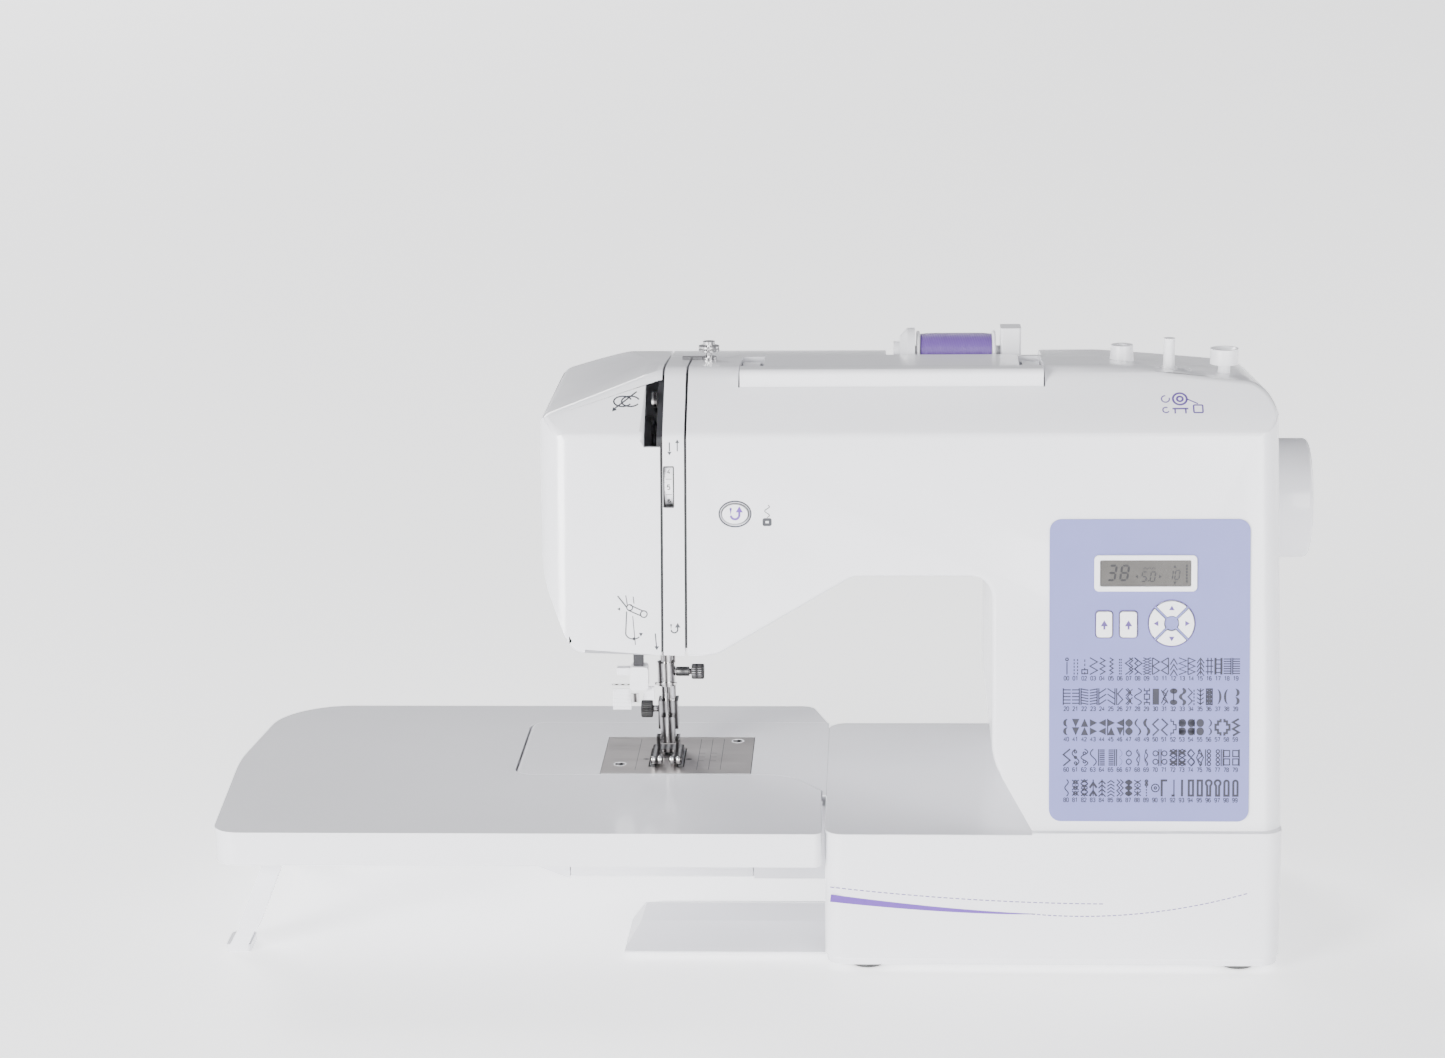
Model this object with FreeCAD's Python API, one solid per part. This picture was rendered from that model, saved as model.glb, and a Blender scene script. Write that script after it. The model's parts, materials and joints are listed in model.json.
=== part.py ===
"""Domestic free-arm sewing machine with its extension table, built as separate sub-parts.

Design frame, in millimetres: +X to the right, +Y to the back, +Z up.  X = 0 is near the left
side of the base, Y = 0 is the front face of the base and Z = 0 is the floor.  Every shape is
moved at the end so that the origin is the middle of the footprint, on the floor.
"""
import FreeCAD, Part
import math
import os

from FreeCAD import Vector

os.makedirs("parts", exist_ok=True)

# ---------------------------------------------------------------- driving dimensions
FOOTPRINT_X, FOOTPRINT_Y = -35.5, 114.5     # middle of the footprint in the design frame
WALL = 3.0                                  # plastic shell thickness
SEAM = 0.4                                  # visible gap between neighbouring covers
BED_Z = 75.0                                # top of the bed, the free arm and the table
BASE_X = (-2.0, 231.5)
BASE_Y = (0.0, 196.0)
BASE_Z = (8.0, 76.0)
FOOT_H = 4.0                                # rubber foot below the bottom plate
FACE_Y0, FACE_Z0 = 4.0, 76.0                # foot of the leaning front face
CREASE_Y, CREASE_Z = 36.0, 276.0            # where the front face meets the top shoulder
TOP_Y, TOP_Z = 66.0, 305.5                  # front edge of the top
TOP_FALL = 0.085                            # slope of the top toward the back
BACK_Y = 177.0
SPLIT_Y = 120.0                             # front cover / rear cover parting plane
SLOT_LEFT_X, SLOT_RIGHT_X = -84.6, -72.4    # the two thread slots of the head
SLOT_W = 1.3
ARM_X = (-171.5, -2.0)                      # free arm
ARM_Y = (99.5, 196.0)
ARM_Z = (15.7, BED_Z)
PLATE_X, PLATE_Y, PLATE_T = (-125.0, -43.5), (100.6, 168.0), 1.2
NEEDLE_X, NEEDLE_Y = -90.0, 131.0
SHAFT_Y, SHAFT_Z, SHAFT_R = 131.0, 221.0, 4.0
LOWER_Y, LOWER_Z = 158.0, 42.5
RUN = 0.06                                  # radial running clearance of shafts and pins
WHEEL_X, WHEEL_R = (233.0, 255.0), 32.0
TABLE_X, TABLE_Y = (-326.0, -3.0), (0.0, 229.0)
TABLE_SKIRT_Z = 57.0
PLAY = 0.35                                 # gap round buttons and lift-off parts
HANDLE_X, HANDLE_Y, HANDLE_FLOOR = (-46.0, 111.0), (57.0, 117.0), 291.0
HANDLE_BAR_Y = (57.6, 72.0)                 # grip bar of the handle
HANDLE_STEP = (74.5, 302.0)                 # front and top of the finger step behind the bar
HANDLE_PIN_Y, HANDLE_PIN_Z = 110.0, 295.5
SPOOL_X, SPOOL_Y, SPOOL_FLOOR = (30.0, 112.0), (124.0, 164.0), 283.0
SPOOL_AXIS_Y, SPOOL_AXIS_Z = 143.0, 299.5
GUIDE_X, GUIDE_Y, GUIDE_Z = -63.0, 103.0, 302.7
WINDER_X, WINDER_Y = 176.5, 90.0
STOP_X = 205.0                              # bobbin winder stop, level with the spindle
SPARE_X, SPARE_Y, SPARE_Z = 153.5, 109.0, 300.0   # socket of the second spool pin and its seat

# outline of arm, head and column seen from the front: x, z, corner radius
OUTLINE = [(231.5, 76.0, 0), (228.5, 297.0, 17), (140.0, 305.5, 120), (-84.0, 305.5, 70),
           (-148.0, 284.0, 9), (-147.0, 205.0, 60), (-131.0, 165.5, 10), (-57.0, 164.5, 14),
           (13.0, 204.5, 14), (83.5, 204.5, 11), (83.5, 112.0, 30), (104.0, 76.0, 0)]
# section of the upper body seen from the side: y, z, corner radius
PROFILE = [(FACE_Y0, FACE_Z0, 0), (CREASE_Y, CREASE_Z, 7), (TOP_Y, TOP_Z, 16),
           (BACK_Y - 4.0, TOP_Z - TOP_FALL * (BACK_Y - 4.0 - TOP_Y), 26), (BACK_Y, 76.0, 0)]
# upper right end of the arm: x, z, corner radius at the front edge of the top
RIGHT_END = [(231.5, 50.0, 0), (228.5, 296.7, 17), (-200.0, 339.5, 0), (-200.0, 50.0, 0)]

LEAN = math.atan2(CREASE_Y - FACE_Y0, CREASE_Z - FACE_Z0)
PLANES = {"x": lambda u, v, w: Vector(w, u, v),
          "y": lambda u, v, w: Vector(u, w, v),
          "z": lambda u, v, w: Vector(u, v, w)}
NORMALS = {"x": Vector(1, 0, 0), "y": Vector(0, 1, 0), "z": Vector(0, 0, 1)}


# ---------------------------------------------------------------- small shape tools
def block(x, y, z):
    """A box given by its low and high coordinate on each axis."""
    return Part.makeBox(x[1] - x[0], y[1] - y[0], z[1] - z[0], Vector(x[0], y[0], z[0]))


def rod(axis, u, v, span, radius):
    """A cylinder along an axis; u, v are its other two coordinates in X, Y, Z order."""
    start = PLANES[axis](u, v, span[0])
    return Part.makeCylinder(radius, span[1] - span[0], start, NORMALS[axis])


def tube(axis, u, v, span, outer, inner):
    """A hollow cylinder along an axis."""
    return rod(axis, u, v, span, outer).cut(rod(axis, u, v, (span[0] - 1, span[1] + 1), inner))


def cone(axis, u, v, span, r_low, r_high):
    """A cone frustum along an axis."""
    start = PLANES[axis](u, v, span[0])
    return Part.makeCone(r_low, r_high, span[1] - span[0], start, NORMALS[axis])


def union(shapes):
    """All the given shapes as one solid, with shared seams removed."""
    first, rest = shapes[0], shapes[1:]
    return first.fuse(rest).removeSplitter() if rest else first


def corner_points(points, i):
    """Start, middle and end of the arc that rounds corner i of a closed outline."""
    (u, v, radius) = points[i]
    before, after = points[i - 1], points[(i + 1) % len(points)]
    corner = Vector(u, v, 0)
    to_before = (Vector(before[0], before[1], 0) - corner).normalize()
    to_after = (Vector(after[0], after[1], 0) - corner).normalize()
    half = to_before.getAngle(to_after) / 2
    middle = (to_before + to_after).normalize()
    reach = radius / math.tan(half)
    nearest = radius / math.sin(half) - radius
    return corner + to_before * reach, corner + middle * nearest, corner + to_after * reach


def face_of(points, plane, w):
    """A flat face from (u, v, radius) corners, on a plane across the named axis at w."""
    place = PLANES[plane]
    edges, ends = [], []
    for i, (u, v, radius) in enumerate(points):
        if radius > 0:
            a, m, b = (place(p.x, p.y, w) for p in corner_points(points, i))
            ends.append((a, b))
            edges.append(Part.Arc(a, m, b).toShape())
        else:
            ends.append((place(u, v, w), place(u, v, w)))
    for i, (_, leave) in enumerate(ends):
        arrive = ends[(i + 1) % len(ends)][0]
        if leave.distanceToPoint(arrive) > 1e-6:
            edges.append(Part.makeLine(leave, arrive))
    return Part.Face(Part.Wire(Part.__sortEdges__(edges)))


def prism(points, axis, span):
    """The (u, v, radius) outline extruded along an axis over a span."""
    return face_of(points, axis, span[0]).extrude(NORMALS[axis] * (span[1] - span[0]))


def inset(points, t):
    """The same outline moved inward by t, with its corner radii kept concentric."""
    count = len(points)
    area = sum(points[i - 1][0] * points[i][1] - points[i][0] * points[i - 1][1]
               for i in range(count))
    turn = 1.0 if area > 0 else -1.0
    result = []
    for i in range(count):
        here = Vector(points[i][0], points[i][1], 0)
        d0 = (here - Vector(points[i - 1][0], points[i - 1][1], 0)).normalize()
        after = points[(i + 1) % count]
        d1 = (Vector(after[0], after[1], 0) - here).normalize()
        n0, n1 = Vector(-d0.y, d0.x, 0) * turn, Vector(-d1.y, d1.x, 0) * turn
        moved = here + (n0 + n1) * (t / (1 + n0.dot(n1)))
        convex = d0.cross(d1).z * turn > 0
        radius = points[i][2]
        if radius > 0:
            radius = max(radius - t, 0.5) if convex else radius + t
        result.append((moved.x, moved.y, radius))
    return result


def slab(x, y, z, radius, axis="z"):
    """A box whose four edges along the axis are rounded."""
    spans = {"x": (y, z, x), "y": (x, z, y), "z": (x, y, z)}[axis]
    (a, b, along) = spans
    corners = [(a[0], b[0], radius), (a[1], b[0], radius), (a[1], b[1], radius),
               (a[0], b[1], radius)]
    return prism(corners, axis, along)


def up_face(z):
    """Distance up the leaning front face of a point at height z."""
    return (z - FACE_Z0) / math.cos(LEAN)


def on_face(shape):
    """Put a shape built as (x, distance up the face, distance out of it) onto the face."""
    placed = shape.copy()
    placed.rotate(Vector(0, 0, 0), Vector(1, 0, 0), 90 - math.degrees(LEAN))
    placed.translate(Vector(0, FACE_Y0, FACE_Z0))
    return placed


def face_slab(x, z, out, radius):
    """A rounded plate lying on the leaning front face, given by its x and z spans."""
    return on_face(slab(x, (up_face(z[0]), up_face(z[1])), out, radius))


# ---------------------------------------------------------------- outer covers
def upper_solid(t):
    """Arm, head and column as one solid, moved inward by t on every side."""
    body = prism(inset(OUTLINE, t), "y", (-10, 210)).common(
        prism(inset(PROFILE, t), "x", (-170, 250)))
    right_end = face_of(inset(RIGHT_END, t), "y", TOP_Y)
    right_end.translate(Vector(0, -80, 80 * TOP_FALL))
    body = body.common(right_end.extrude(Vector(0, 230, -230 * TOP_FALL)))
    lean = Vector(0, CREASE_Y - FACE_Y0, CREASE_Z - FACE_Z0) * 1.6
    low = Vector(0, FACE_Y0, FACE_Z0) - lean * 0.1
    shell_front = -t / math.cos(LEAN)
    for x_edge, far, radius, drift in ((-148.0 + t, 300, 17, 0.0), (231.6 - t, -300, 12, -2.7)):
        corners = [(x_edge, -shell_front, max(radius - t, 1)), (x_edge, 300, 0),
                   (far, 300, 0), (far, -shell_front, 0)]
        plan = face_of(corners, "z", 0)
        plan.translate(low - Vector(drift * 0.16, 0, 0))
        body = body.common(plan.extrude(lean * 1.2 + Vector(drift * 1.92, 0, 0)))
    back_corners = [(-148.0 + t, -60, 0), (300, -60, 0), (300, BACK_Y - t, 0),
                    (-148.0 + t, BACK_Y - t, 24 - t)]
    return body.common(prism(back_corners, "z", (50, 320)))


def upper_shell():
    """The hollow shell of arm, head and column, open below the column and the needle."""
    shell = upper_solid(0).cut(upper_solid(WALL))
    column_mouth = block((105, 227), (9, BACK_Y - WALL), (70, 84))
    needle_mouth = block((-114, -64), (112, 164), (160, 172))
    return shell.cut(column_mouth).cut(needle_mouth)


def tray(x, y, floor, top, t):
    """An open-topped box with its inside given; its walls and floor are t thick."""
    outside = block((x[0] - t, x[1] + t), (y[0] - t, y[1] + t), (floor - t, top))
    return outside.cut(block(x, y, (floor, top + 1)))


def front_cover():
    """Front shell of arm and column, with the handle recess and the panel openings."""
    half = block((SLOT_RIGHT_X + SLOT_W / 2, 240), (-10, SPLIT_Y - SEAM / 2), (60, 320))
    cover = upper_shell().common(half)
    cover = cover.cut(block(HANDLE_X, HANDLE_Y, (HANDLE_FLOOR, 320)))
    walls = tray(HANDLE_X, HANDLE_Y, HANDLE_FLOOR, 320, 2.0).common(half)
    step = block((HANDLE_X[0] + 12, HANDLE_X[1] - 12), (HANDLE_STEP[0], HANDLE_Y[1] + 1),
                 (HANDLE_FLOOR - 1, HANDLE_STEP[1]))
    cover = union([cover, walls.common(upper_solid(0)), step])
    for opening in button_openings():
        cover = cover.cut(opening)
    winder_slot = slab((171.5, 188.5), (84.5, 95.5), (280, 320), 5.4)
    fittings = ((STOP_X, WINDER_Y, 280, 3.2), (SPARE_X, SPARE_Y, 280, 3.0),
                (SPARE_X, SPARE_Y, SPARE_Z, 6.6), (GUIDE_X, GUIDE_Y, 280, 1.6))
    for x, y, low, radius in fittings:
        cover = cover.cut(rod("z", x, y, (low, 320), radius))
    pin_holes = rod("x", HANDLE_PIN_Y, HANDLE_PIN_Z, (HANDLE_X[0] - 1.6, HANDLE_X[1] + 1.6), 2 + RUN)
    return cover.cut(winder_slot).cut(pin_holes)


def rear_cover():
    """Rear shell of arm and column, with the spool trough and the handwheel hole."""
    half = block((SLOT_LEFT_X + SLOT_W / 2, 240), (SPLIT_Y + SEAM / 2, 210), (60, 320))
    cover = upper_shell().common(half)
    cover = cover.cut(block(SPOOL_X, SPOOL_Y, (SPOOL_FLOOR, 320)))
    walls = tray(SPOOL_X, SPOOL_Y, SPOOL_FLOOR, 320, 2.0).common(half)
    cover = union([cover, walls.common(upper_solid(0))])
    wheel_hole = rod("x", SHAFT_Y, SHAFT_Z, (215, 240), 9.5)
    return cover.cut(wheel_hole)


def face_cover():
    """End shell of the head, left of the thread slots, with the take-up lever opening."""
    end = block((-170, SLOT_LEFT_X - SLOT_W / 2), (-10, 210), (60, 320))
    lever_opening = block((-93.5, -80), (0, 84), (270, 300))
    lifter_hole = rod("y", LIFTER_X, LIFTER_Z, (150, 190), 5.3)
    lamp_hole = slab(LAMP_X, LAMP_Y, (160, 172), 2)
    cover = upper_shell().common(end)
    return cover.cut(lever_opening).cut(lifter_hole).cut(lamp_hole)


def thread_strip():
    """Narrow strip between the two thread slots, with the tension dial window."""
    strip = block((SLOT_LEFT_X + SLOT_W / 2, SLOT_RIGHT_X - SLOT_W / 2),
                  (-10, SPLIT_Y - SEAM / 2), (60, 320))
    window = block((DIAL_X[0] - 0.5, DIAL_X[1] + 0.5), (0, 60), (239.5, 260.5))
    return upper_shell().common(strip).cut(window)


def slot_liner():
    """Dark channel behind the slots that the thread runs in."""
    gap = 0.4
    sheet = upper_solid(WALL + gap).cut(upper_solid(WALL + gap + 1.2))
    span = block((SLOT_LEFT_X - 2.6, SLOT_RIGHT_X + 2.6), (-10, 112), (176, 320))
    dial_room = block((DIAL_X[0] - 0.5, DIAL_X[1] + 0.5), (0, 70), (232, 268))
    return sheet.common(span).cut(dial_room)


# ---------------------------------------------------------------- base, free arm, table
def base_cover():
    """Base shell: front, sides, back and the bed beside the free arm."""
    outer = slab(BASE_X, BASE_Y, BASE_Z, 10)
    outer = outer.cut(block((-5, 104), (-5, 200), (BED_Z, 80)))
    inner = slab((BASE_X[0] + WALL, BASE_X[1] - WALL), (BASE_Y[0] + WALL, BASE_Y[1] - WALL),
                 (BASE_Z[0] - 1, BED_Z - WALL), 8)
    column_hole = block((107, 225), (12, BACK_Y - 6), (60, 90))
    arm_hole = block((-5, 4), (ARM_Y[0] + WALL, ARM_Y[1] - WALL), (ARM_Z[0] + WALL, BED_Z - WALL))
    switch_hole = block((225, 235), (SWITCH_Y[0] - PLAY, SWITCH_Y[1] + PLAY),
                        (SWITCH_Z[0] - PLAY, SWITCH_Z[1] + PLAY))
    inlet_hole = block((225, 235), INLET_Y, INLET_Z)
    shell = outer.cut(inner)
    for opening in (column_hole, arm_hole, switch_hole, inlet_hole):
        shell = shell.cut(opening)
    return shell


TOE_X = (-107.0, 2.0)


def bottom_plate():
    """Bottom plate of the base with the low toe that reaches out under the free arm."""
    plate = slab((BASE_X[0] + 1, BASE_X[1] - 1), (BASE_Y[0] + 1, BASE_Y[1] - 1),
                 (FOOT_H, BASE_Z[0]), 9)
    toe_outline = [(TOE_X[0], 16, 0), (TOE_X[1], 16, 0), (TOE_X[1], 88, 0), (-89, 88, 6),
                   (TOE_X[0] + 1, 62, 0)]
    toe = prism(toe_outline, "z", (FOOT_H, 13.0))
    roof = [(10, 2, 0), (95, 2, 0), (95, 5, 0), (70, 12.5, 3), (45, 11.5, 3), (15.5, 5, 0)]
    toe = toe.common(prism(roof, "x", (-110, 5)))
    left_facet = [(-110, 0, 0), (5, 0, 0), (5, 20, 0), (-90, 20, 0), (-107.5, 5, 0)]
    toe = toe.common(prism(left_facet, "y", (0, 100)))
    toe = toe.cut(block((BASE_X[0], 5), (0, 100), (BASE_Z[0], 20)))
    return union([plate, toe])


FEET = ((20, 16), (211, 16), (20, 180), (211, 180))


def rubber_feet():
    """Four round rubber feet under the bottom plate."""
    return Part.makeCompound([cone("z", x, y, (0, FOOT_H), 8.5, 9.5) for x, y in FEET])


ARM_PLAN = [(ARM_X[0], ARM_Y[0], 10), (-22, ARM_Y[0], 24), (-4, 72, 6), (-4, 64, 0),
            (ARM_X[1], 64, 0), (ARM_X[1], ARM_Y[1], 0), (ARM_X[0], ARM_Y[1], 10)]


def free_arm_cover():
    """Hollow free arm with the needle plate recess and the bobbin door opening."""
    side = [(ARM_X[0], BED_Z, 3), (10, BED_Z, 0), (10, ARM_Z[0], 0), (-144, ARM_Z[0], 5),
            (-165, 24, 5), (ARM_X[0], 34, 5)]
    outer = prism(ARM_PLAN, "z", (ARM_Z[0], BED_Z)).common(prism(side, "y", (50, 210)))
    inner = slab((ARM_X[0] + WALL, 20), (ARM_Y[0] + WALL, ARM_Y[1] - WALL),
                 (ARM_Z[0] + WALL, BED_Z - WALL), 7)
    inner = inner.common(prism(inset(side, WALL), "y", (50, 210)))
    inner = inner.cut(block((ARM_X[1], 30), (0, 210), (0, 90)))
    # below the table the front of the arm is straight, so the flare is only a top lip
    flare_cut = block((-40, 0), (50, ARM_Y[0]), (ARM_Z[0] - 1, BED_Z - 6))
    shell = outer.cut(inner).cut(flare_cut)
    shell = shell.fuse(block((-40, ARM_X[1]), (ARM_Y[0], ARM_Y[0] + WALL), (ARM_Z[0], BED_Z)))
    recess = block((PLATE_X[0] - 0.2, PLATE_X[1] + 0.2), (PLATE_Y[0] - 0.2, PLATE_Y[1] + 0.2),
                   (BED_Z - PLATE_T, 90))
    well = block((PLATE_X[0] + 4, PLATE_X[1] - 4), (PLATE_Y[0] + 3, PLATE_Y[1] - 3), (60, 90))
    door = block((DOOR_X[0] - 0.5, DOOR_X[1] + 0.5), (90, ARM_Y[0] + WALL + 1),
                 (ARM_Z[0] - 1, DOOR_TOP + 0.5))
    lever_slot = block((FEED_LEVER_X - 12, FEED_LEVER_X + 4), (190, 200), (37, 43))
    hinge_room = rod("x", DOOR_PIN_Y, DOOR_PIN_Z, (DOOR_X[0] - 0.5, DOOR_X[1] + 0.5), 3.0)
    shell = shell.cut(recess).cut(well).cut(door).cut(hinge_room).cut(lever_slot)
    pins = [rod("x", DOOR_PIN_Y, DOOR_PIN_Z, (end - 4, end + 4), 1.2 - RUN) for end in DOOR_X]
    return union([shell] + pins)


DOOR_X, DOOR_TOP = (-142.0, -42.5), 56.0
DOOR_PIN_Y, DOOR_PIN_Z = 102.0, 18.6


def bobbin_cover():
    """Hinged door in the front of the free arm, in front of the bobbin."""
    panel = block(DOOR_X, (ARM_Y[0], ARM_Y[0] + 2.4), (DOOR_PIN_Z, DOOR_TOP))
    hinge = rod("x", DOOR_PIN_Y, DOOR_PIN_Z, DOOR_X, 2.5)
    lip = block((-100, -80), (ARM_Y[0], ARM_Y[0] + 4), (DOOR_TOP - 3, DOOR_TOP))
    door = union([panel, hinge, lip])
    return door.cut(rod("x", DOOR_PIN_Y, DOOR_PIN_Z, (-150, -30), 1.2))


def table_corners(t):
    """Plan of the extension table moved inward by t; it leaves the free arm clear."""
    arm_front, arm_back = ARM_Y[0] - PLAY - t, ARM_Y[1] + PLAY + t
    return [(-318 + t, TABLE_Y[0] + t, 14), (TABLE_X[1] - 0.6 - t, TABLE_Y[0] + t, 4),
            (TABLE_X[1] - 1.6 - t, 72, 6), (-22 - t, arm_front, 24),
            (ARM_X[0] - PLAY - t, arm_front, 10 + t),
            (ARM_X[0] - PLAY - t, arm_back, 10 + t), (TABLE_X[1] - t, arm_back, 0.6),
            (-12 - t, TABLE_Y[1] - t, 8),
            (-316 + t, TABLE_Y[1] - t, 42), (TABLE_X[0] + t, 124, 200)]


def extension_table():
    """Lift-off table: a flat top with a skirt, open where the free arm lies."""
    outer = prism(table_corners(0), "z", (TABLE_SKIRT_Z, BED_Z))
    inner = prism(table_corners(WALL), "z", (TABLE_SKIRT_Z - 1, BED_Z - WALL))
    shell = outer.cut(inner)
    ears = []
    for y in LEG_Y:
        for side in (-LEG_W / 2 - 3.4, LEG_W / 2 + 0.4):
            ears.append(block((LEG_PIN_X - 6, LEG_PIN_X + 6), (y + side, y + side + 3),
                              (LEG_PIN_Z - 5, BED_Z - WALL)))
        ears.append(rod("y", LEG_PIN_X, LEG_PIN_Z, (y - LEG_W / 2 - 2, y + LEG_W / 2 + 2), 2.0))
    return union([shell] + ears)


LEG_Y, LEG_W = (36.0, 190.0), 20.0
LEG_PIN_X, LEG_PIN_Z = -286.0, 64.5
LEG_FOOT_X = -312.0


def table_leg(y):
    """One folding leg, leaning outward, with a rubber-faced foot end."""
    run = Vector(LEG_FOOT_X - LEG_PIN_X, 0, -LEG_PIN_Z)
    across = Vector(-run.z, 0, run.x).normalize() * 4.6
    top = Vector(LEG_PIN_X, y - LEG_W / 2, LEG_PIN_Z)
    low = top + run
    corners = [top + across, top - across, low - across * 1.1 - run * 0.2, low + across * 1.1 - run * 0.2]
    bar = Part.Face(Part.makePolygon(corners + corners[:1])).extrude(Vector(0, LEG_W, 0))
    knuckle = rod("y", LEG_PIN_X, LEG_PIN_Z, (y - LEG_W / 2, y + LEG_W / 2), 5.2)
    shank = [(low - run * 0.25 + across).x, (low - run * 0.25 - across).x]
    foot = slab((LEG_FOOT_X - 6.5, LEG_FOOT_X + 6.5), (y - LEG_W / 2, y + LEG_W / 2),
                (0, 4.0), 2, "z")
    neck_top = -run.z * 0.25
    neck = prism([(min(shank), neck_top, 0), (max(shank), neck_top, 0), (LEG_FOOT_X + 5, 3, 0),
                  (LEG_FOOT_X - 5, 3, 0)], "y", (y - LEG_W / 2, y + LEG_W / 2))
    leg = union([bar, knuckle, neck, foot])
    return leg.cut(rod("y", LEG_PIN_X, LEG_PIN_Z, (y - 20, y + 20), 2.0 + RUN))


# ---------------------------------------------------------------- control panel
PANEL_X, PANEL_Z, PANEL_T = (112.6, 213.9), (81.0, 233.6), 0.8
LCD_X, LCD_Z = (138.1, 184.1), (199.9, 213.0)
BEZEL = 3.0
MODE_X, MODE_Z = ((136.2, 144.3), (148.2, 156.8)), (174.2, 187.3)
PAD_X, PAD_Z, PAD_R = 174.3, 181.3, 11.4
REVERSE_X, REVERSE_Z, REVERSE_R = -47.1, 236.4, (8.2, 6.6)
BUTTON_TOP, BUTTON_DEEP = 2.0, -6.0


def rounded_button(x, z):
    """An oblong button that passes through the panel and the cover."""
    return face_slab(x, z, (BUTTON_DEEP, BUTTON_TOP), 1.6)


def arrow_button(index, grow=0.0):
    """One of the four ring sectors round the pad centre: 0 up, 1 left, 2 down, 3 right."""
    ring = Part.makeCylinder(PAD_R + grow, BUTTON_TOP - BUTTON_DEEP, Vector(0, 0, BUTTON_DEEP))
    ring = ring.cut(Part.makeCylinder(3.8 - grow, 20, Vector(0, 0, -10)))
    gap, far = 1.0 - grow * 0.7, 20.0
    wedge = Part.Face(Part.makePolygon([
        Vector(0, gap, -10), Vector(far, far + gap, -10), Vector(-far, far + gap, -10),
        Vector(0, gap, -10)])).extrude(Vector(0, 0, 20))
    sector = ring.common(wedge)
    sector.rotate(Vector(0, 0, 0), Vector(0, 0, 1), 90 * index)
    sector.translate(Vector(PAD_X, up_face(PAD_Z), 0))
    return on_face(sector)


def oval(grow, low, high):
    """An elliptical plug for the reverse button, or its hole when grown."""
    ellipse = Part.Ellipse(Vector(REVERSE_X, up_face(REVERSE_Z), low),
                           REVERSE_R[0] + grow, REVERSE_R[1] + grow)
    face = Part.Face(Part.Wire(ellipse.toShape()))
    return on_face(face.extrude(Vector(0, 0, high - low)))


def reverse_button():
    """Oval button that sews backwards while it is held."""
    return oval(-1.6, BUTTON_DEEP, 1.2)


def button_openings():
    """Holes through panel and cover for the buttons and the display."""
    through = (-8.0, 4.0)
    holes = [face_slab((x[0] - PLAY, x[1] + PLAY), (MODE_Z[0] - PLAY, MODE_Z[1] + PLAY),
                       through, 1.9) for x in MODE_X]
    holes += [arrow_button(i, PLAY) for i in range(4)]
    holes.append(face_slab(LCD_X, LCD_Z, through, 0.5))
    holes.append(oval(-1.6 + PLAY, -8.0, 4.0))
    return holes


def control_panel():
    """Coloured overlay on the column with the stitch chart, flush on the cover."""
    panel = face_slab(PANEL_X, PANEL_Z, (0.0, PANEL_T), 6.0)
    for hole in button_openings():
        panel = panel.cut(hole)
    return panel


def lcd_bezel():
    """Raised frame round the display."""
    outer = face_slab((LCD_X[0] - BEZEL, LCD_X[1] + BEZEL),
                      (LCD_Z[0] - BEZEL + 0.4, LCD_Z[1] + BEZEL - 0.4), (PANEL_T, PANEL_T + 1.0), 2.4)
    return outer.cut(face_slab(LCD_X, LCD_Z, (-1, 4), 0.8))


def lcd_screen():
    """Display module, its glass a little below the bezel."""
    return face_slab((LCD_X[0] + 0.1, LCD_X[1] - 0.1), (LCD_Z[0] + 0.1, LCD_Z[1] - 0.1),
                     (-6.0, PANEL_T + 0.3), 0.7)


def circuit_boards():
    """Control board behind the panel, and the power board in the base with its parts."""
    control = face_slab((106, 212), (96, 236), (-11.6, -10.0), 2)
    power = block((20, 100), (24, 90), (14, 15.6))
    can = rod("z", 40, 45, (15.6, 40), 9)
    choke = block((60, 88), (40, 70), (15.6, 38))
    legs = [rod("z", x, y, (BASE_Z[0], 14), 2.5) for x in (24, 96) for y in (28, 86)]
    return Part.makeCompound([control, power, can, choke] + legs)


# ---------------------------------------------------------------- drive train
BUSH_X = ((-50.0, -36.0), (202.0, 214.0))
LOWER_BUSH_X = ((-60.0, -48.0), (150.0, 160.0))
COLUMN_PLATE_X = (112.0, 120.0)


def cast_frame():
    """Cast aluminium skeleton that carries the shafts and the needle and presser bars."""
    beam = block((-108, 214), (104, 158), (246, 252))
    plate = block(COLUMN_PLATE_X, (104, 158), (10, 252))
    lower = block((-64, 164), (142, 176), (22, 30))
    head = block((-108, -102), (123, 157), (174, 252))
    needle_lugs = [block((-108, -82), (123, 153), z) for z in ((174, 184), (240, 252))]
    posts = [block(x, (121, 141), (209, 246)) for x in BUSH_X]
    lower_posts = [block(x, (LOWER_Y - 10, LOWER_Y + 10), (30, 54)) for x in LOWER_BUSH_X]
    race_arm = block((-100, -64), (144.4, 150), (22, 29))
    frame = union([beam, plate, lower, head, race_arm] + needle_lugs + posts + lower_posts)
    frame = frame.cut(rod("x", SHAFT_Y, SHAFT_Z, (-60, -30), 8))
    frame = frame.cut(rod("x", SHAFT_Y, SHAFT_Z, (195, 220), 8))
    frame = frame.cut(rod("x", SHAFT_Y, SHAFT_Z, (105, 130), 9))
    frame = frame.cut(rod("x", LOWER_Y, LOWER_Z, (-64, -40), 7))
    frame = frame.cut(rod("x", LOWER_Y, LOWER_Z, (105, 130), 7))
    frame = frame.cut(rod("x", LOWER_Y, LOWER_Z, (145, 165), 7))
    frame = frame.cut(rod("z", NEEDLE_X, NEEDLE_Y, (160, 260), 3.2 + RUN))
    frame = frame.cut(rod("z", NEEDLE_X, PRESSER_Y, (160, 260), 4.0 + RUN))
    take_up_pin = rod("x", TAKE_UP_Y, TAKE_UP_Z, (-100, -84), 2.5)
    take_up_lug = block((-104, -94), (101, 115), (250, 270))
    return union([frame, take_up_lug, take_up_pin])


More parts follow.
